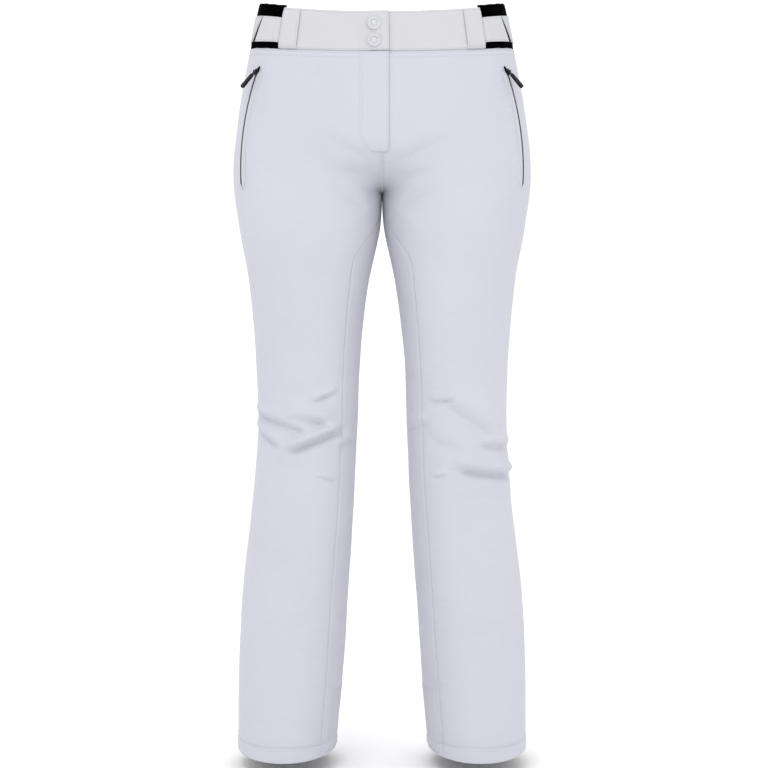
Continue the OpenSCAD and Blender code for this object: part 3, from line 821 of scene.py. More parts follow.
class SkiPantsStudio(bpy.types.PropertyGroup):
    """Where the camera stands and how bright the lights are."""

    distance: FloatProperty(name="Distance", default=2.048, unit="LENGTH",
                            description="From the camera to the middle of the garment")
    height: FloatProperty(name="Height", default=-0.5322, unit="LENGTH",
                          description="Height of the camera in the row's frame")
    lens: FloatProperty(name="Lens", default=68.6, description="Focal length in millimetres")
    sky: FloatProperty(name="Sky", default=1.12, min=0.0, description="Strength of the even light")
    key: FloatProperty(name="Key", default=17.0, min=0.0, unit="POWER",
                       description="Power of the front light")


def settings():
    return bpy.context.scene.ski_pants


# ---- Pieces ----

HEM_ROWS, SHOULDER = 30, 0.032
SEAM_ROWS, HEM_STITCHES = (2.6, 8.6), (17.5, 21.5)
FRONT_BEND, BACK_BEND = 0.81, 0.855


def crowded_levels(bend, below, above):
    """Levels up a panel: close together in the hem, then even, with one exactly at bend."""
    parts = [np.linspace(0, SHOULDER, HEM_ROWS), np.linspace(SHOULDER, bend, below)[1:]]
    if above:
        parts.append(np.linspace(bend, 1, above)[1:])
    return np.concatenate(parts)


def hem_relief(h):
    """The turned hem stands out by its second layer, with a groove where it is stitched down."""
    turn = settings().hem_turn
    return 0.8 * smooth((turn - h) / 3) - 0.8 * np.exp(-((h - turn) / 1.5) ** 2)


def over_knee(obj):
    """Bakes a piece's placement into its mesh."""
    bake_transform(obj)


def front_start(h):
    """Where a front panel begins: the zip, the centre seam, or the inner panel's edge."""
    return np.where(h > FLY_LOW + 6, 0.006, np.where(h >= INSIDE_LEG, 0.0, princess(h) + EDGE))


def back_stop(h):
    """Where a back panel ends: the centre seam, or the inner panel's edge."""
    return np.where(h >= INSIDE_LEG, 1.0, 1 + inner_back(h) - EDGE)


def make_front_panels():
    """Front panels: one piece of cloth each, from the hem to the waistband, with the darted knee."""
    s = settings()
    for name, side in SIDES:
        t, h = panel_grid(96, crowded_levels(FRONT_BEND, 290, 76), front_start,
                          lambda h: np.full_like(h, SIDE - EDGE), hem_edge,
                          lambda t: band_seam(t) - 0.15, FRONT_BEND)
        face, back, normal = cloth_panel(t, h, 0.0, SHELL, side, s.fold_depth, s.seam_roll,
                                         extra=hem_relief(h))
        obj = piece("front_cloth_" + name, mirrored(shell_parts(face, back), side), shell_cloth())
        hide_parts("front_panel_" + name, "shin_front_" + name)
        over_knee(obj)
        rows = [inset(face, normal, 2.6), inset(face, normal, 2.6, False),
                *(level_line(face, normal, d) for d in HEM_STITCHES)]
        obj = stitching("front_stitches_" + name, rows, side, thread(), s.stitch_pitch,
                        s.stitch_length)
        over_knee(obj)
        rows = [level_line(face, normal, d, False) for d in SEAM_ROWS]
        obj = stitching("band_seam_stitches_" + name, rows, side, thread(), s.stitch_pitch,
                        s.stitch_length)
        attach(obj, "trousers")


def make_inner_panels():
    """Inner leg panels: narrow gores from the hem up to a point at the crotch."""
    s = settings()
    for name, side in SIDES:
        t, h = panel_grid(30, crowded_levels(1.0, 300, 0), inner_back, princess, hem_edge,
                          lambda t: np.full_like(t, INSIDE_LEG - 0.4))
        face, back, normal = cloth_panel(t, h, 0.0, SHELL, side, s.fold_depth, s.seam_roll,
                                         ends=(True, True, True, False), extra=hem_relief(h))
        obj = piece("inner_cloth_" + name, mirrored(shell_parts(face, back), side), shell_cloth())
        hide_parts("inner_panel_" + name, "shin_inner_" + name)
        over_knee(obj)
        rows = [*(level_line(face, normal, d) for d in HEM_STITCHES)]
        obj = stitching("inner_stitches_" + name, rows, side, thread(), s.stitch_pitch,
                        s.stitch_length)
        over_knee(obj)


def make_back_panels():
    """Back panels, with the crumpled cloth behind the knee, and the yoke over them."""
    s = settings()
    for name, side in SIDES:
        t, h = panel_grid(84, crowded_levels(BACK_BEND, 260, 56),
                          lambda h: np.full_like(h, SIDE + EDGE), back_stop, hem_edge,
                          lambda t: yoke_seam(t) - 0.4, BACK_BEND)
        face, back, normal = cloth_panel(t, h, 0.0, SHELL, side, s.fold_depth, s.seam_roll,
                                         extra=hem_relief(h))
        obj = piece("back_cloth_" + name, mirrored(shell_parts(face, back), side), shell_cloth())
        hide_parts("back_panel_" + name, "shin_back_" + name, "knee_back_" + name)
        over_knee(obj)
        rows = [inset(face, normal, 2.6), inset(face, normal, 2.6, False),
                *(level_line(face, normal, d) for d in HEM_STITCHES)]
        obj = stitching("back_stitches_" + name, rows, side, thread(), s.stitch_pitch,
                        s.stitch_length)
        over_knee(obj)
        t, h = panel_grid(70, np.linspace(0, 1, 34), lambda h: np.full_like(h, SIDE + EDGE),
                          lambda h: np.full_like(h, 1 - EDGE), yoke_seam,
                          lambda t: band_seam(t) - 0.15)
        face, back, normal = cloth_panel(t, h, 0.0, SHELL, side, s.fold_depth, s.seam_roll)
        obj = piece("back_yoke_cloth_" + name, mirrored(shell_parts(face, back), side), shell_cloth())
        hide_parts("back_yoke_" + name)
        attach(obj, "trousers")
        rows = [level_line(face, normal, d) for d in SEAM_ROWS]
        rows += [level_line(face, normal, d, False) for d in SEAM_ROWS]
        obj = stitching("yoke_stitches_" + name, rows, side, thread(), s.stitch_pitch,
                        s.stitch_length)
        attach(obj, "trousers")


def make_lining():
    """The lining: a loose tube inside each leg, from the gaiter to the waistband."""
    for name, side in SIDES:
        t, h = panel_grid(64, np.linspace(0, 1, 170), lambda h: np.full_like(h, 0.006),
                          lambda h: np.full_like(h, 0.994), lambda t: np.full_like(t, 216.0),
                          lambda t: band_seam(t) - 2)
        base = cloth(t, h, 6.4)
        slack = 0.7 * ripple(base, 60.0, 2.2) + 0.5 * ripple(base, 31.0, 0.7)
        face, back, _ = cloth_panel(t, h, 6.4, 0.8, side, 0.0, 0.0, extra=slack)
        obj = piece("lining_cloth_" + name, mirrored(shell_parts(face, back), side), lining_cloth())
        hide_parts("lining_" + name)
        over_knee(obj)


def band_panel(columns, rows, t0, t1, low, high, d, thick, side, puff=0.8, roll=0.6,
               ends=(True, True, True, True), wanted=None):
    """A strip round the waist, puffed up by (1 - (2v - 1)^4) between its edges."""
    v = np.linspace(0, 1, rows)
    t, h = panel_grid(columns, v, lambda h: t0 + 0 * h, lambda h: t1 + 0 * h, low, high)
    extra = puff * (1 - (2 * v[:, None] - 1) ** 4) + 0 * t
    if wanted is not None:
        extra = extra + wanted(t, h)
    return cloth_panel(t, h, d, thick, side, 0.0, roll, 1.6, ends, extra)


def make_waistband():
    """The waistband: its two fronts, its back, and the facing inside it."""
    s = settings()
    root = float(share_at(-FLY_ROOT, WAIST_LEVEL)) - 0.0006
    for name, side, t0 in (("left", 1.0, -0.036), ("right", -1.0, root)):
        ends = (name == "left", True, True, True)
        under = 2.6 if name == "left" else 0.0
        face, back, normal = band_panel(
            96, 30, t0, LOOP_TO, lambda t: band_seam(t) + 0.05, waist_top, 0.0, SHELL, side, ends=ends,
            wanted=lambda t, h: -under * (1 - smooth((t + 0.036) / 0.02)) + 0 * h)
        obj = piece("front_band_" + name, mirrored(shell_parts(face, back), side), band_cloth())
        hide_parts("waistband_front_" + name)
        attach(obj, "trousers")
        rows = [level_line(face, normal, 2.4), level_line(face, normal, 2.4, False)]
        obj = stitching("front_band_stitches_" + name, rows, side, thread(), s.stitch_pitch,
                        s.stitch_length)
        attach(obj, "trousers")
    parts, rows = [], []
    for name, side in SIDES:
        face, back, normal = band_panel(110, 30, ELASTIC_TO, 1 - 0.0004, lambda t: band_seam(t) + 0.3,
                                        waist_top, 0.0, SHELL, side)
        parts.append(mirrored(shell_parts(face, back), side))
        for d, low in ((2.4, True), (2.4, False)):
            p, n = level_line(face, normal, d, low)
            rows.append(mirrored(stitch_parts(p, n, s.stitch_pitch, s.stitch_length, 0.33), side))
    obj = piece("back_band_cloth", join_parts(parts), band_cloth())
    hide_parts("waistband_back")
    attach(obj, "trousers")
    obj = piece("back_band_stitches", join_parts(rows), thread())
    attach(obj, "trousers")
    for name, side in SIDES:
        face, back, _ = band_panel(120, 12, 0.04, 1 - 0.001, lambda t: band_seam(t) + 2,
                                   lambda t: waist_top(t) - 2.4, 3.2, 1.0, side, 0.3, 0.2)
        obj = piece("band_facing_" + name, mirrored(shell_parts(face, back), side), lining_cloth())
        if side > 0:
            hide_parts("waistband_facing")
        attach(obj, "trousers")


def make_elastic():
    """Wide black elastic at each side of the waist, ribbed by a sine of the height."""
    for name, side in SIDES:
        face, back, _ = band_panel(150, 66, LOOP_TO + 0.0004, ELASTIC_TO - 0.0004,
                                   lambda t: band_seam(t) + 0.3, lambda t: waist_top(t) + ELASTIC_UP, 0.5, 1.4, side, 0.4, 0.4,
                                   wanted=lambda t, h: 0.28 * np.sin(2 * math.pi * h / 4.2))
        obj = piece("elastic_" + name, mirrored(shell_parts(face, back), side), black_elastic())
        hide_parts("waist_elastic_" + name)
        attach(obj, "trousers")


def make_loops():
    """Belt loops: wide flat ones in front of the elastic, sewn down at both ends, and two narrow
    ones behind, each a rounded bar carried along a bridge."""
    s = settings()
    for name, side in SIDES:
        def seated(t, h):
            ends = np.minimum(h - band_seam(t) - 1, waist_top(t) - h)
            return -1.5 * np.exp(-(ends / 5.0) ** 2)
        face, back, normal = band_panel(26, 46, LOOP_FROM, LOOP_TO, lambda t: band_seam(t) + 1,
                                        waist_top, -3.4, 1.6, side, 0.3, 0.7, wanted=seated)
        obj = piece("belt_loop_cloth_" + name, mirrored(shell_parts(face, back), side), band_cloth())
        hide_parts("belt_loop_" + name)
        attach(obj, "trousers")
        rows = [inset(face, normal, 2.2), inset(face, normal, 2.2, False),
                level_line(face, normal, 3.0), level_line(face, normal, 3.0, False)]
        obj = stitching("belt_loop_stitches_" + name, rows, side, thread(), s.stitch_pitch * 0.8,
                        s.stitch_length * 0.85)
        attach(obj, "trousers")
    parts = []
    wall = cloth(0.86, SIDE_LENGTH - 30, 0.0)
    lean = math.atan((block(SIDE_LENGTH, 4) - block(SIDE_LENGTH - 56, 4)) / 56)
    k = np.linspace(-1, 1, 61)
    out = 0.9 + 6.4 * smooth((1 - np.abs(k)) / 0.2)
    path = np.stack([np.zeros_like(k), out, 27 * k], axis=-1)
    way = np.gradient(path, axis=0)
    way /= np.linalg.norm(way, axis=1, keepdims=True)
    across = np.array([1.0, 0.0, 0.0])
    lift = np.cross(way, across)
    ring = np.linspace(0, 2 * math.pi, 17)[:-1]
    bar = (path[:, None, :] + 6.0 * power(np.cos(ring), 0.35)[None, :, None] * across
           - 0.9 * power(np.sin(ring), 0.7)[None, :, None] * lift[:, None, :])
    c, sn = math.cos(lean), math.sin(lean)
    for side in (1.0, -1.0):
        turn = -side * math.radians(18)
        x, y, z = bar[..., 0], bar[..., 1], bar[..., 2]
        x, y = x * math.cos(turn) - y * math.sin(turn), x * math.sin(turn) + y * math.cos(turn)
        y, z = y * c + z * sn, -y * sn + z * c
        placed = np.stack([x + side * wall[0], y + wall[1], z + SIDE_LENGTH - 28], axis=-1)
        faces = np.concatenate([grid_faces(61, 16, round_u=True),
                                [[3, 2, 1, 0], [5, 4, 3, 0], [7, 6, 5, 0], [9, 8, 7, 0], [11, 10, 9, 0],
                                 [13, 12, 11, 0], [15, 14, 13, 0]],
                                60 * 16 + np.array([[0, 1, 2, 3], [0, 3, 4, 5], [0, 5, 6, 7], [0, 7, 8, 9],
                                                    [0, 9, 10, 11], [0, 11, 12, 13], [0, 13, 14, 15]])])
        uv = np.stack([6 * np.cos(ring)[None, :] + 0 * k[:, None], 27 * k[:, None] + 0 * ring], -1) * 0.001
        parts.append((placed.reshape(-1, 3), faces, uv.reshape(-1, 2)))
    obj = piece("back_belt_loop_cloth", join_parts(parts), band_cloth())
    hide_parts("back_belt_loops")
    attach(obj, "trousers")


def slanted(top, foot, reach=54.0):
    """A side that slants across the waistband: t at the top of the band and t at its foot."""
    return lambda h: mix(foot, top, np.clip((h - 968) / reach, 0, 1))


def peel_at_root(obj, side):
    """Works out the line of a strap's first few millimetres past its loop, which nothing uses, and bakes
    the strap's placement into its mesh.
    """
    span = (cloth(0.2745, 1000.0) - cloth(STRAP_FROM, 1000.0)) * (side, 1.0, 0.0)
    span = span / np.linalg.norm(span) * STRAP_BEND * 0.001
    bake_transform(obj)


def make_adjusters():
    """Waist adjusters: a strap that peels open with a slanted end, over a landing whose front edge
    slants too, so that a wedge of elastic shows between them."""
    s = settings()
    low, high = lambda t: band_seam(t) + 9, lambda t: waist_top(t) - 14
    for name, side in SIDES:
        t, h = panel_grid(60, np.linspace(0, 1, 34), lambda h: STRAP_FROM + 0 * h,
                          slanted(0.338, 0.388), low, high)
        root = -1.4 * (1 - smooth((t - STRAP_FROM) / 0.02))
        face, back, normal = cloth_panel(t, h, STRAP_DEPTH, 1.6, side, 0.0, 0.8, 1.4, extra=root)
        obj = piece("adjuster_cloth_" + name, mirrored(shell_parts(face, back), side), band_cloth())
        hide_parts("adjuster_strap_" + name, "adjuster_hook_" + name)
        peel_at_root(obj, side)
        rows = [inset(face, normal, 2.2, False), level_line(face, normal, 2.2),
                level_line(face, normal, 2.2, False), inset(face, normal, 9.0)]
        obj = stitching("adjuster_stitches_" + name, rows, side, thread(), s.stitch_pitch * 0.8,
                        s.stitch_length * 0.85)
        peel_at_root(obj, side)
        t, h = panel_grid(90, np.linspace(0, 1, 30), slanted(0.347, 0.45), lambda h: 0.62 + 0 * h,
                          low, high)
        face, back, normal = cloth_panel(t, h, LANDING_DEPTH, 1.1, side, 0.0, 0.4, 1.2)
        obj = piece("landing_cloth_" + name, mirrored(shell_parts(face, back), side), hook_patch())
        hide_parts("adjuster_landing_" + name)
        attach(obj, "trousers")
        rows = [inset(face, normal, 2.0), inset(face, normal, 2.0, False),
                level_line(face, normal, 2.0), level_line(face, normal, 2.0, False)]
        obj = stitching("landing_stitches_" + name, rows, side, thread(), s.stitch_pitch * 0.8,
                        s.stitch_length * 0.85)
        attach(obj, "trousers")


def flap_side(h):
    """x of the flap's sewn edge: straight, then a quarter circle at the lower corner."""
    up = np.clip(FLY_LOW + FLY_CORNER - h, 0.0, FLY_CORNER - 0.05)
    return FLY_ROOT + np.where(up > 0, FLY_CORNER - np.sqrt(FLY_CORNER ** 2 - up ** 2), 0.0)


def front_y(h, d):
    """y of a straight line up the centre front that the fly zip follows, d behind the cloth."""
    middle = FLY_LOW + FLY_LENGTH / 2
    rise = (block(SIDE_LENGTH - RISE, 3) - block(FLY_LOW, 3)) / (BAND_HEIGHT + FLY_LENGTH)
    return block(middle, 3) + d + (h - middle) * rise


def make_fly():
    """The fly: a flap that stands prouder towards its free edge, the tab of the waistband over it,
    two ringed snap caps, and behind them the shield and the zip."""
    s = settings()
    t, h = panel_grid(44, np.linspace(0, 1, 130), lambda h: share_at(flap_side(h), h),
                      lambda h: share_at(FLY_EDGE, h), lambda t: FLY_LOW + 1 + 0 * t,
                      lambda t: band_seam(t) - 0.15)
    x = cloth(t, h)[..., 0]
    free = smooth((x - FLY_ROOT) / 26)
    thick = mix(0.5, 1.3, free)
    face, back, normal = cloth_panel(t, h, 0.0, thick[..., None], 1.0, s.fold_depth, 0.6, 1.4,
                                     (False, True, True, True), thick + mix(0.1, 1.2, free))
    obj = piece("fly_flap_cloth", shell_parts(face, back), shell_cloth())
    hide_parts("fly_flap")
    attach(obj, "fly_flap")
    rows = [inset(face, normal, 3.2), level_line(face, normal, 3.2), inset(face, normal, 2.4, False)]
    obj = stitching("fly_flap_stitches", rows, 1.0, thread(), s.stitch_pitch, s.stitch_length)
    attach(obj, "fly_flap")

    t0, t1 = float(share_at(FLY_ROOT, WAIST_LEVEL)), float(share_at(FLY_EDGE, WAIST_LEVEL))

    def lapped(t, h):
        pucker = 0.5 * ripple(cloth(t, h), 26.0, 3.3) * smooth((t - t0) / 0.02)
        return pucker - 3.7 * (1 - smooth((t - t0) / 0.03))
    face, back, normal = band_panel(44, 34, t0, t1, lambda t: band_seam(t) + 0.4, waist_top, -4.1,
                                    1.7, 1.0, 0.4, 1.0, (False, True, True, True), lapped)
    obj = piece("waistband_tab_cloth", shell_parts(face, back), band_cloth())
    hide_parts("waistband_tab")
    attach(obj, "fly_flap")
    rows = [inset(face, normal, 2.4, False), level_line(face, normal, 2.4),
            level_line(face, normal, 2.4, False)]
    obj = stitching("waistband_tab_stitches", rows, 1.0, thread(), s.stitch_pitch, s.stitch_length)
    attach(obj, "fly_flap")

    # Ringed caps: a height for each radius, turned round
    profile = np.array([(0.02, 1.0), (1.8, 0.98), (3.4, 0.85), (4.2, 0.2), (4.6, 0.08), (4.75, 1.3),
                        (5.2, 1.5), (5.6, 1.3), (6.0, 0.9), (7.0, 0.75), (7.6, 0.8), (7.9, 1.3),
                        (8.4, 1.75), (8.9, 1.6), (9.25, 1.0), (9.3, 0.5), (9.1, 0.0), (0.02, 0.0)])
    turn = np.linspace(0, 2 * math.pi, 65)[:-1]
    rise = (block(SIDE_LENGTH - RISE, 3) - block(FLY_LOW, 3)) / (BAND_HEIGHT + FLY_LENGTH)
    lean = math.atan(rise)
    parts = []
    for up in SNAP_UP:
        hh = SIDE_LENGTH - RISE - BAND_HEIGHT + up
        r, z = profile[:, 0][:, None], profile[:, 1][:, None]
        a, b = r * np.cos(turn), r * np.sin(turn)
        dist = z + 0 * turn
        pts = np.stack([SNAP_X + a, block(hh, 3) - 4.5 - dist * math.cos(lean) + b * math.sin(lean),
                        hh + b * math.cos(lean) + dist * math.sin(lean)], axis=-1)
        pts = pts[::-1]
        uv = np.stack([a, b], axis=-1)[::-1] * 0.001
        parts.append((pts.reshape(-1, 3), grid_faces(len(profile), 64, round_u=True), uv.reshape(-1, 2)))
    obj = piece("snap_cap_shells", join_parts(parts), snap_lacquer())
    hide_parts("snap_caps")
    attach(obj, "fly_flap")

    t, h = panel_grid(20, np.linspace(0, 1, 60), lambda h: share_at(-14.0, h), lambda h: share_at(24.0, h),
                      lambda t: FLY_LOW + 14 + 0 * t, lambda t: band_seam(t) - 3)
    face, back, _ = cloth_panel(t, h, 5.8, 0.8, 1.0, 0.0, 0.0)
    obj = piece("fly_shield_cloth", shell_parts(face, back), lining_cloth())
    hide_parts("fly_shield")
    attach(obj, "trousers")

    h = np.linspace(FLY_LOW + 22, FLY_LOW + FLY_LENGTH - 4, 60)
    across = np.linspace(-9, 9, 9)
    tape = np.stack(np.broadcast_arrays(across[None, :], front_y(h, 4.2)[:, None], h[:, None]), axis=-1)
    parts = [shell_parts(tape, tape + np.array([0.0, 0.7, 0.0]))]
    for side in (-1.4, 1.4):
        line = np.stack([side + 0 * h, front_y(h, 3.3), h], axis=-1)
        parts.append(coil(line, np.tile([0.0, -1.0, 0.05], (len(h), 1)), 1.7, 3.0, 0.65))
    obj = piece("fly_zip_coil", join_parts(parts), zip_coil())
    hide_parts("fly_zip_chain")
    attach(obj, "trousers")


def coil(path, normal, pitch, length, radius):
    """The turns of one side of a zip: stitches turned to lie across the path instead of along it."""
    way = np.gradient(path, axis=0)
    way /= np.linalg.norm(way, axis=1, keepdims=True)
    s = np.concatenate([[0.0], np.cumsum(np.linalg.norm(np.diff(path, axis=0), axis=1))])
    middle = np.arange(pitch, s[-1] - pitch, pitch)

    def at(values):
        return np.stack([np.interp(middle, s, values[:, c]) for c in range(3)], axis=-1)

    centre, out, way = at(path), at(normal), at(way)
    out /= np.linalg.norm(out, axis=1, keepdims=True)
    across = np.cross(way, out)
    across /= np.linalg.norm(across, axis=1, keepdims=True)
    ring = np.linspace(0, 2 * math.pi, 7)[:-1]
    station = np.array(STITCH_STATIONS)
    reach = (station[:, 0] * length / 2)[None, :, None, None]
    thick = (station[:, 1] * radius)[None, :, None, None]
    round_ = (np.cos(ring)[None, None, :, None] * out[:, None, None, :]
              + np.sin(ring)[None, None, :, None] * way[:, None, None, :])
    verts = centre[:, None, None, :] + reach * across[:, None, None, :] + thick * round_
    wall = grid_faces(4, 6, round_u=True, turn=True)
    ends = np.array([[0, 1, 2, 3], [0, 3, 4, 5], [21, 20, 19, 18], [23, 22, 21, 18]])
    wall = np.concatenate([wall, ends])
    faces = (wall[None] + (np.arange(len(middle)) * 24)[:, None, None]).reshape(-1, 4)
    return verts.reshape(-1, 3), faces, np.zeros((len(middle) * 24, 2))


def pocket_line():
    """The true arc that a pocket zip lies on: the circle through three places on the cloth. Returns
    its points, the outward and across directions there, and the share t at each point."""
    on = [cloth(t, POCKET_TOP - POCKET_LENGTH * k / 2, -1.2) for k, t in enumerate(POCKET_T)]
    a, b = on[0] - on[2], on[1] - on[2]
    n = np.cross(a, b)
    centre = on[2] + np.cross((a @ a) * b - (b @ b) * a, n) / (2 * n @ n)
    radius = np.linalg.norm(on[0] - centre)
    u = (on[0] - centre) / radius
    axis = np.cross(on[0] - centre, on[2] - centre)
    axis /= np.linalg.norm(axis)
    w = np.cross(axis, u)
    span = math.acos(float(u @ (on[2] - centre)) / radius)
    t1, mid = POCKET_T[1], POCKET_TOP - POCKET_LENGTH / 2
    over, below = POCKET_TOP - POCKET_LENGTH * 0.45, POCKET_TOP - POCKET_LENGTH * 0.55
    out = np.cross(cloth(t1 + 0.02, mid) - cloth(t1 - 0.02, mid),
                   cloth(t1, over) - cloth(t1, below))
    middle = (on[1] - centre) / radius
    turn = math.atan2(float(out @ axis), float(out @ middle))
    k = np.linspace(0, 1, 150)[:, None]
    r = u * np.cos(span * k) + w * np.sin(span * k)
    face = r * math.cos(turn) + axis * math.sin(turn)
    across = axis * math.cos(turn) - r * math.sin(turn)
    points = centre + radius * r
    bend = (POCKET_T[0] + POCKET_T[2] - 2 * POCKET_T[1]) * 2
    q = (POCKET_TOP - points[:, 2]) / POCKET_LENGTH
    share = POCKET_T[0] + (POCKET_T[2] - POCKET_T[0]) * q + bend * (q * q - q)
    return points, face, across, share


def make_pockets():
    """Hand pockets: two welts that stand up from the cloth to a rounded lip on each side of a dark
    coil, with a slim garage over the top end, black as painted shade for the shadow in its opening, and a
    bag behind."""
    s = settings()
    for name, side in SIDES:
        points, out, across, share = pocket_line()
        h = points[:, 2]
        v = np.linspace(0, 1, 22)[None, :, None]
        parts, rows = [], []
        k = np.linspace(0, 1, len(h))[:, None]
        ends = smooth(k / 0.06) * smooth((1 - k) / 0.06)
        for way in (-1.0, 1.0):
            edge = cloth(share + way * (0.003 + 0.0135 * ends[:, 0]), h, -0.35)
            lip = points + way * (0.35 + 0.95 * ends) * across + (1.5 * ends - 0.4) * out
            deep = points + way * (0.5 + 1.2 * ends) * across - 0.8 * out
            bulge = 0.7 * ends[:, None] * np.sin(math.pi * np.clip(v / 0.8, 0, 1)) ** 0.8
            k = np.clip(v / 0.8, 0, 1)
            skin = mix(edge[:, None, :], lip[:, None, :], smooth(k) * 0.35 + k * 0.65)
            turned = np.clip((v - 0.8) / 0.2, 0, 1)
            skin = mix(skin, deep[:, None, :], turned ** 1.5) + bulge * out[:, None, :]
            skin = skin[:, ::-1] if way < 0 else skin
            under = skin - out[:, None, :]
            skin, under = skin[::-1], under[::-1]
            if way > 0:
                skin, under = skin[:, ::-1], under[:, ::-1]
            n = normals_of(skin)
            if float((n * out[::-1][:, None, :]).sum()) < 0:
                skin, under = skin[:, ::-1], under[:, ::-1]
                n = normals_of(skin)
            parts.append(shell_parts(skin, under))
            c = 5
            line = skin[:, c] if np.linalg.norm(skin[75, c] - edge[::-1][75]) < 6 else skin[:, -c]
            rows.append((line + 0.2 * out[::-1], out[::-1]))
        obj = piece("pocket_welts_" + name, mirrored(join_parts(parts), side), shell_cloth())
        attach(obj, "trousers")
        obj = stitching("pocket_stitches_" + name, rows, side, thread(), s.stitch_pitch,
                        s.stitch_length)
        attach(obj, "trousers")
        points, out, across = points[4:-5], out[4:-5], across[4:-5]
        wide = np.linspace(-1, 1, 7)[None, :, None] * 3.0 * np.clip(ends[4:-5, None] * 1.5, 0.2, 1)
        tape = (points[:, None, :] + wide * across[:, None, :] + 0.1 * out[:, None, :])[::-1]
        if float((normals_of(tape) * out[::-1][:, None, :]).sum()) < 0:
            tape = tape[:, ::-1]
        parts = [shell_parts(tape, tape - 0.6 * out[::-1][:, None, :])]
        for x in (-1.05, 1.05):
            parts.append(coil(points + x * across + 0.95 * out, out, 1.5, 2.2, 0.6))
        obj = piece("pocket_coil_" + name, mirrored(join_parts(parts), side), zip_coil())
        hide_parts("pocket_zip_chain_" + name)
        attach(obj, "trousers")
        u = np.linspace(0, math.pi, 26)[None, :, None]
        k = np.linspace(-1, 1, 26)[:, None, None]
        top = points[0] + out[0]
        up = (points[0] - points[6]) / np.linalg.norm(points[0] - points[6])
        size = np.sqrt(np.clip(1 - np.abs(k) ** 3, 0.003, 1))
        slim = 2.3 * size * (1 - 0.5 * np.clip(k, 0, 1))
        hood = (top + up * (2.2 + 5.6 * k) - slim * np.cos(u) * across[0]
                + slim * np.sin(u) * out[0] - 0.9 * out[0])
        if float((normals_of(hood)[8:18, 8:18] * out[0]).sum()) < 0:
            hood = hood[:, ::-1]
        under = hood - 0.5 * out[0]
        # The garage is coloured black as painted shade: the black stands for the shadow in the garage's
        # opening.
        obj = piece("pocket_garage_painted_shade_" + name, mirrored(shell_parts(hood, under), side), black_elastic())
        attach(obj, "trousers")
        t, hh = panel_grid(40, np.linspace(0, 1, 60), lambda h: 0.24 + 0 * h, lambda h: 0.44 + 0 * h,
                           lambda t: POCKET_TOP - POCKET_LENGTH - 40 + 0 * t, lambda t: band_seam(t) - 8)
        face, back, _ = cloth_panel(t, hh, 3.6, 0.8, side, 0.0, 0.0)
        obj = piece("pocket_bag_cloth_" + name, mirrored(shell_parts(face, back), side), lining_cloth())
        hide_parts("pocket_bag_" + name)
        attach(obj, "trousers")


def make_cuffs():
    """Inside and on the hems: gathered snow gaiters with their elastics, the kick patches, and the
    blank size label at the back of the waist."""
    s = settings()
    for name, side in SIDES:
        def sleeve(low, high, rows, shift, thick, gathers, rib):
            t = np.linspace(0.0, 1.0, 241)[None, :]
            h = np.linspace(low, high, rows)[:, None]
            into = mix(24.0, 9.0, smooth((h - 30) / 160)) + shift
            near = 1 - smooth((h - 34) / 120)
            wave = np.sin(2 * math.pi * gathers * t) * (0.5 + 1.2 * near)
            wave = wave + 0.7 * np.sin(2 * math.pi * (gathers * 0.37) * t + 0.02 * h)
            into = into - wave * (0.8 if rib == 0 else 0.5) - rib * np.sin(2 * math.pi * h / 2.6)
            shape = np.broadcast_arrays(t, h, into)
            p0, p1 = cloth(shape[0], shape[1]), cloth(shape[0], shape[1], 10.0)
            face = mix(p0, p1, shape[2][..., None] / 10.0)
            inner = mix(p0, p1, (shape[2][..., None] + thick) / 10.0)
            return face, inner
        face, inner = sleeve(34, 206, 60, 0.0, 0.7, s.gaiter_gathers, 0.0)
        obj = piece("gaiter_cloth_" + name, mirrored(shell_parts(face, inner), side), gaiter_cloth())
        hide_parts("snow_gaiter_" + name)
        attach(obj, "lower_leg_" + name)
        face, inner = sleeve(22, 33.5, 24, -0.5, 1.8, s.gaiter_gathers, 0.25)
        obj = piece("gaiter_band_" + name, mirrored(shell_parts(face, inner), side), black_elastic())
        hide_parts("gaiter_elastic_" + name)
        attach(obj, "lower_leg_" + name)
        t, h = panel_grid(40, np.linspace(0, 1, 50), lambda h: inner_back(h) + 0.02,
                          lambda h: princess(h) - 0.02, lambda t: hem_edge(t) + 3,
                          lambda t: 92 - 30 * np.abs(t))
        face, back, normal = cloth_panel(t, h, -0.6, 0.5, side, s.fold_depth, 0.35, 1.2,
                                         extra=hem_relief(h))
        obj = piece("kick_patch_cloth_" + name, mirrored(shell_parts(face, back), side), scuff_cloth())
        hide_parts("kick_patch_" + name)
        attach(obj, "lower_leg_" + name)
        rows = [inset(face, normal, 2.4), inset(face, normal, 2.4, False),
                level_line(face, normal, 2.4), level_line(face, normal, 2.4, False)]
        obj = stitching("kick_patch_stitches_" + name, rows, side, thread(), s.stitch_pitch,
                        s.stitch_length)
        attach(obj, "lower_leg_" + name)
    low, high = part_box("size_label")
    x = np.linspace(low[0], high[0], 40)[None, :] * 1000
    z = np.linspace(low[2], high[2], 34)[:, None] * 1000 + SIDE_LENGTH
    y = low[1] * 1000 - 0.25 * np.cos(x / 4.1) - 0.3 * ((z - z.mean()) / 17) ** 2
    face = np.stack(np.broadcast_arrays(x, y, z), axis=-1)
    obj = piece("size_label_satin", shell_parts(face, face + np.array([0.0, 0.5, 0.0])), label_satin())
    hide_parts("size_label")
    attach(obj, "trousers")


def finish_fittings():
    """Finishes on the hard pieces that keep their shape: snaps, sliders and pulls."""
    def dress(node, material):
        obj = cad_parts[node]
        obj.data.materials.clear()
        obj.data.materials.append(material)
    for node in ("snap_sockets", "snap_studs", "fly_zip_slider", "fly_zip_pull"):
        dress(node, snap_metal())
    for name, _ in SIDES:
        dress("pocket_zip_slider_" + name, black_rubber())
        dress("pocket_zip_pull_" + name, dark_metal())
        dress("pull_grip_" + name, black_rubber())


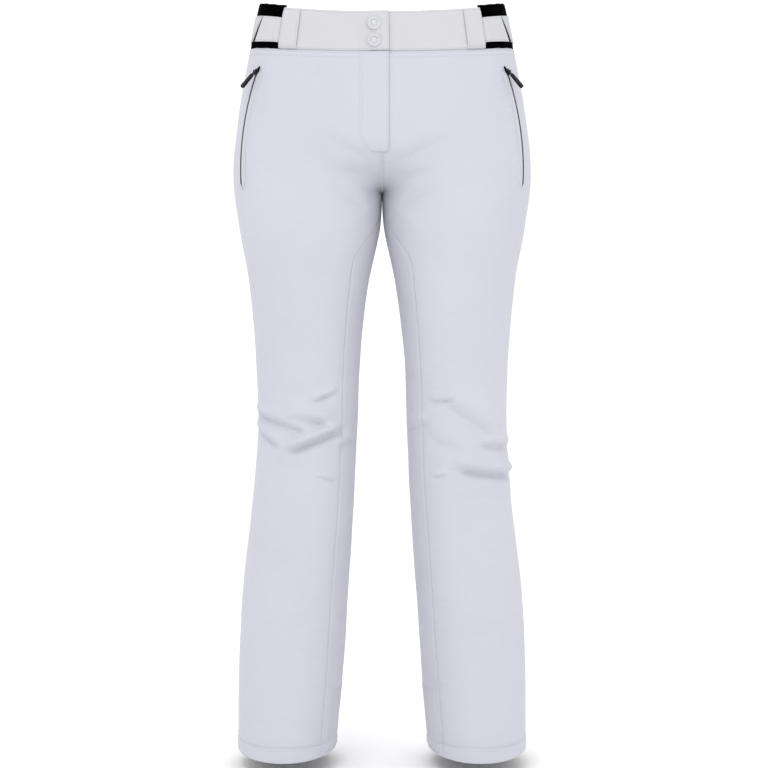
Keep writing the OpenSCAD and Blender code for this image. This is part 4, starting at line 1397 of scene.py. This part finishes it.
def make_stage():
    """A white floor a little below the hems, even white light, a soft key in front, and the camera."""
    s = bpy.context.scene.ski_pants_studio
    mesh = bpy.data.meshes.new("floor")
    size, z = 14.0, -SIDE_LENGTH * 0.001 - FLOOR_GAP
    mesh.from_pydata([(-size, -size, z), (size, -size, z), (size, size, z), (-size, size, z)], [],
                     [(0, 1, 2, 3)])
    floor = bpy.data.objects.new("floor", mesh)
    bpy.context.scene.collection.objects.link(floor)
    material, tree, shader = start_material("floor_paint", Roughness=0.9, Specular_IOR_Level=0.0)
    place = put(tree, "ShaderNodeTexCoord").outputs["Object"]
    shade = put(tree, "ShaderNodeMix", {0: noise(tree, place, 3.0), 6: (0.99, 0.99, 0.99, 1.0),
                                        7: (1.0, 1.0, 1.0, 1.0)}, data_type="RGBA").outputs[2]
    tree.links.new(shade, shader.inputs["Base Color"])
    mesh.materials.append(material)
    world = bpy.data.worlds.new("studio")
    world.use_nodes = True
    world.node_tree.nodes["Background"].inputs["Color"].default_value = (1.0, 1.0, 1.0, 1.0)
    world.node_tree.nodes["Background"].inputs["Strength"].default_value = s.sky
    bpy.context.scene.world = world
    for name, place, size, watts in (("key", (-0.7, -2.0, 2.0), 1.4, s.key),
                                     ("fill", (1.5, -2.3, -0.4), 2.0, s.key * 0.4)):
        light = bpy.data.lights.new(name, "AREA")
        light.energy, light.size = watts, size
        obj = bpy.data.objects.new(name, light)
        bpy.context.scene.collection.objects.link(obj)
        obj.location = place
        toward = Vector((0.0, 0.0, -0.5)) - obj.location
        obj.rotation_euler = toward.to_track_quat("-Z", "Y").to_euler()
    camera = bpy.data.cameras.new("camera")
    camera.lens, camera.sensor_width, camera.shift_x = s.lens, 36.0, CAMERA_SHIFT
    obj = bpy.data.objects.new("camera", camera)
    bpy.context.scene.collection.objects.link(obj)
    obj.location = (0.0, -s.distance, s.height)
    obj.rotation_euler = (math.pi / 2, 0.0, 0.0)
    bpy.context.scene.camera = obj
    bpy.context.scene.view_settings.view_transform = "Standard"


# ---- Operators and panel ----

class SKI_PANTS_OT_front_panels(bpy.types.Operator):
    """Front panels of cloth, one each, from the hem to the waistband"""

    bl_idname = "ski_pants.front_panels"
    bl_label = "Front panels"
    bl_options = {"REGISTER", "UNDO"}

    def execute(self, context):
        make_front_panels()
        return {"FINISHED"}


class SKI_PANTS_OT_inner_panels(bpy.types.Operator):
    """Inner leg gores, from the hem to the crotch"""

    bl_idname = "ski_pants.inner_panels"
    bl_label = "Inner leg panels"
    bl_options = {"REGISTER", "UNDO"}

    def execute(self, context):
        make_inner_panels()
        return {"FINISHED"}


class SKI_PANTS_OT_back_panels(bpy.types.Operator):
    """Back panels, the cloth behind the knees, and the yokes"""

    bl_idname = "ski_pants.back_panels"
    bl_label = "Back panels and yokes"
    bl_options = {"REGISTER", "UNDO"}

    def execute(self, context):
        make_back_panels()
        return {"FINISHED"}


class SKI_PANTS_OT_lining(bpy.types.Operator):
    """The loose lining of each leg"""

    bl_idname = "ski_pants.lining"
    bl_label = "Lining"
    bl_options = {"REGISTER", "UNDO"}

    def execute(self, context):
        make_lining()
        return {"FINISHED"}


class SKI_PANTS_OT_waistband(bpy.types.Operator):
    """The waistband's fronts, back and facing"""

    bl_idname = "ski_pants.waistband"
    bl_label = "Waistband"
    bl_options = {"REGISTER", "UNDO"}

    def execute(self, context):
        make_waistband()
        return {"FINISHED"}


class SKI_PANTS_OT_elastic(bpy.types.Operator):
    """The ribbed elastic at each side of the waist"""

    bl_idname = "ski_pants.elastic"
    bl_label = "Waist elastic"
    bl_options = {"REGISTER", "UNDO"}

    def execute(self, context):
        make_elastic()
        return {"FINISHED"}


class SKI_PANTS_OT_loops(bpy.types.Operator):
    """Belt loops at the front and back"""

    bl_idname = "ski_pants.loops"
    bl_label = "Belt loops"
    bl_options = {"REGISTER", "UNDO"}

    def execute(self, context):
        make_loops()
        return {"FINISHED"}


class SKI_PANTS_OT_adjusters(bpy.types.Operator):
    """The straps that peel open, and their landings"""

    bl_idname = "ski_pants.adjusters"
    bl_label = "Waist adjusters"
    bl_options = {"REGISTER", "UNDO"}

    def execute(self, context):
        make_adjusters()
        return {"FINISHED"}


class SKI_PANTS_OT_fly(bpy.types.Operator):
    """The fly's flap, tab, snap caps, shield and zip"""

    bl_idname = "ski_pants.fly"
    bl_label = "Fly"
    bl_options = {"REGISTER", "UNDO"}

    def execute(self, context):
        make_fly()
        return {"FINISHED"}


class SKI_PANTS_OT_pockets(bpy.types.Operator):
    """The welts, coils, garages and bags of the hand pockets"""

    bl_idname = "ski_pants.pockets"
    bl_label = "Hand pockets"
    bl_options = {"REGISTER", "UNDO"}

    def execute(self, context):
        make_pockets()
        return {"FINISHED"}


class SKI_PANTS_OT_cuffs(bpy.types.Operator):
    """Snow gaiters, kick patches and the blank size label"""

    bl_idname = "ski_pants.cuffs"
    bl_label = "Cuffs and label"
    bl_options = {"REGISTER", "UNDO"}

    def execute(self, context):
        make_cuffs()
        return {"FINISHED"}


class SKI_PANTS_OT_fittings(bpy.types.Operator):
    """Finishes for the snaps, sliders and pulls"""

    bl_idname = "ski_pants.fittings"
    bl_label = "Snaps, sliders and pulls"
    bl_options = {"REGISTER", "UNDO"}

    def execute(self, context):
        finish_fittings()
        return {"FINISHED"}


class SKI_PANTS_OT_stage(bpy.types.Operator):
    """The floor, the lights and the camera"""

    bl_idname = "ski_pants.stage"
    bl_label = "Stage"
    bl_options = {"REGISTER", "UNDO"}

    def execute(self, context):
        make_stage()
        return {"FINISHED"}


OPERATORS = (
    SKI_PANTS_OT_front_panels,
    SKI_PANTS_OT_inner_panels,
    SKI_PANTS_OT_back_panels,
    SKI_PANTS_OT_lining,
    SKI_PANTS_OT_waistband,
    SKI_PANTS_OT_elastic,
    SKI_PANTS_OT_loops,
    SKI_PANTS_OT_adjusters,
    SKI_PANTS_OT_fly,
    SKI_PANTS_OT_pockets,
    SKI_PANTS_OT_cuffs,
    SKI_PANTS_OT_fittings,
    SKI_PANTS_OT_stage,
)


class SKI_PANTS_PT_panel(bpy.types.Panel):
    """Lists the settings and the pieces"""

    bl_label = "Ski pants"
    bl_idname = "SKI_PANTS_PT_panel"
    bl_space_type = "VIEW_3D"
    bl_region_type = "UI"
    bl_category = "Ski pants"

    def draw(self, context):
        layout = self.layout
        for group in (context.scene.ski_pants, context.scene.ski_pants_studio):
            box = layout.box()
            for key in group.__annotations__:
                box.prop(group, key)
        for kind in OPERATORS:
            layout.operator(kind.bl_idname)


CLASSES = (SkiPantsSettings, SkiPantsStudio, *OPERATORS, SKI_PANTS_PT_panel)


def register():
    for kind in CLASSES:
        bpy.utils.register_class(kind)
    bpy.types.Scene.ski_pants = PointerProperty(type=SkiPantsSettings)
    bpy.types.Scene.ski_pants_studio = PointerProperty(type=SkiPantsStudio)


def unregister():
    del bpy.types.Scene.ski_pants_studio
    del bpy.types.Scene.ski_pants
    for kind in reversed(CLASSES):
        bpy.utils.unregister_class(kind)


def main():
    register()
    for kind in OPERATORS:
        family, task = kind.bl_idname.split(".")
        getattr(getattr(bpy.ops, family), task)()


if __name__ == "__main__":
    main()
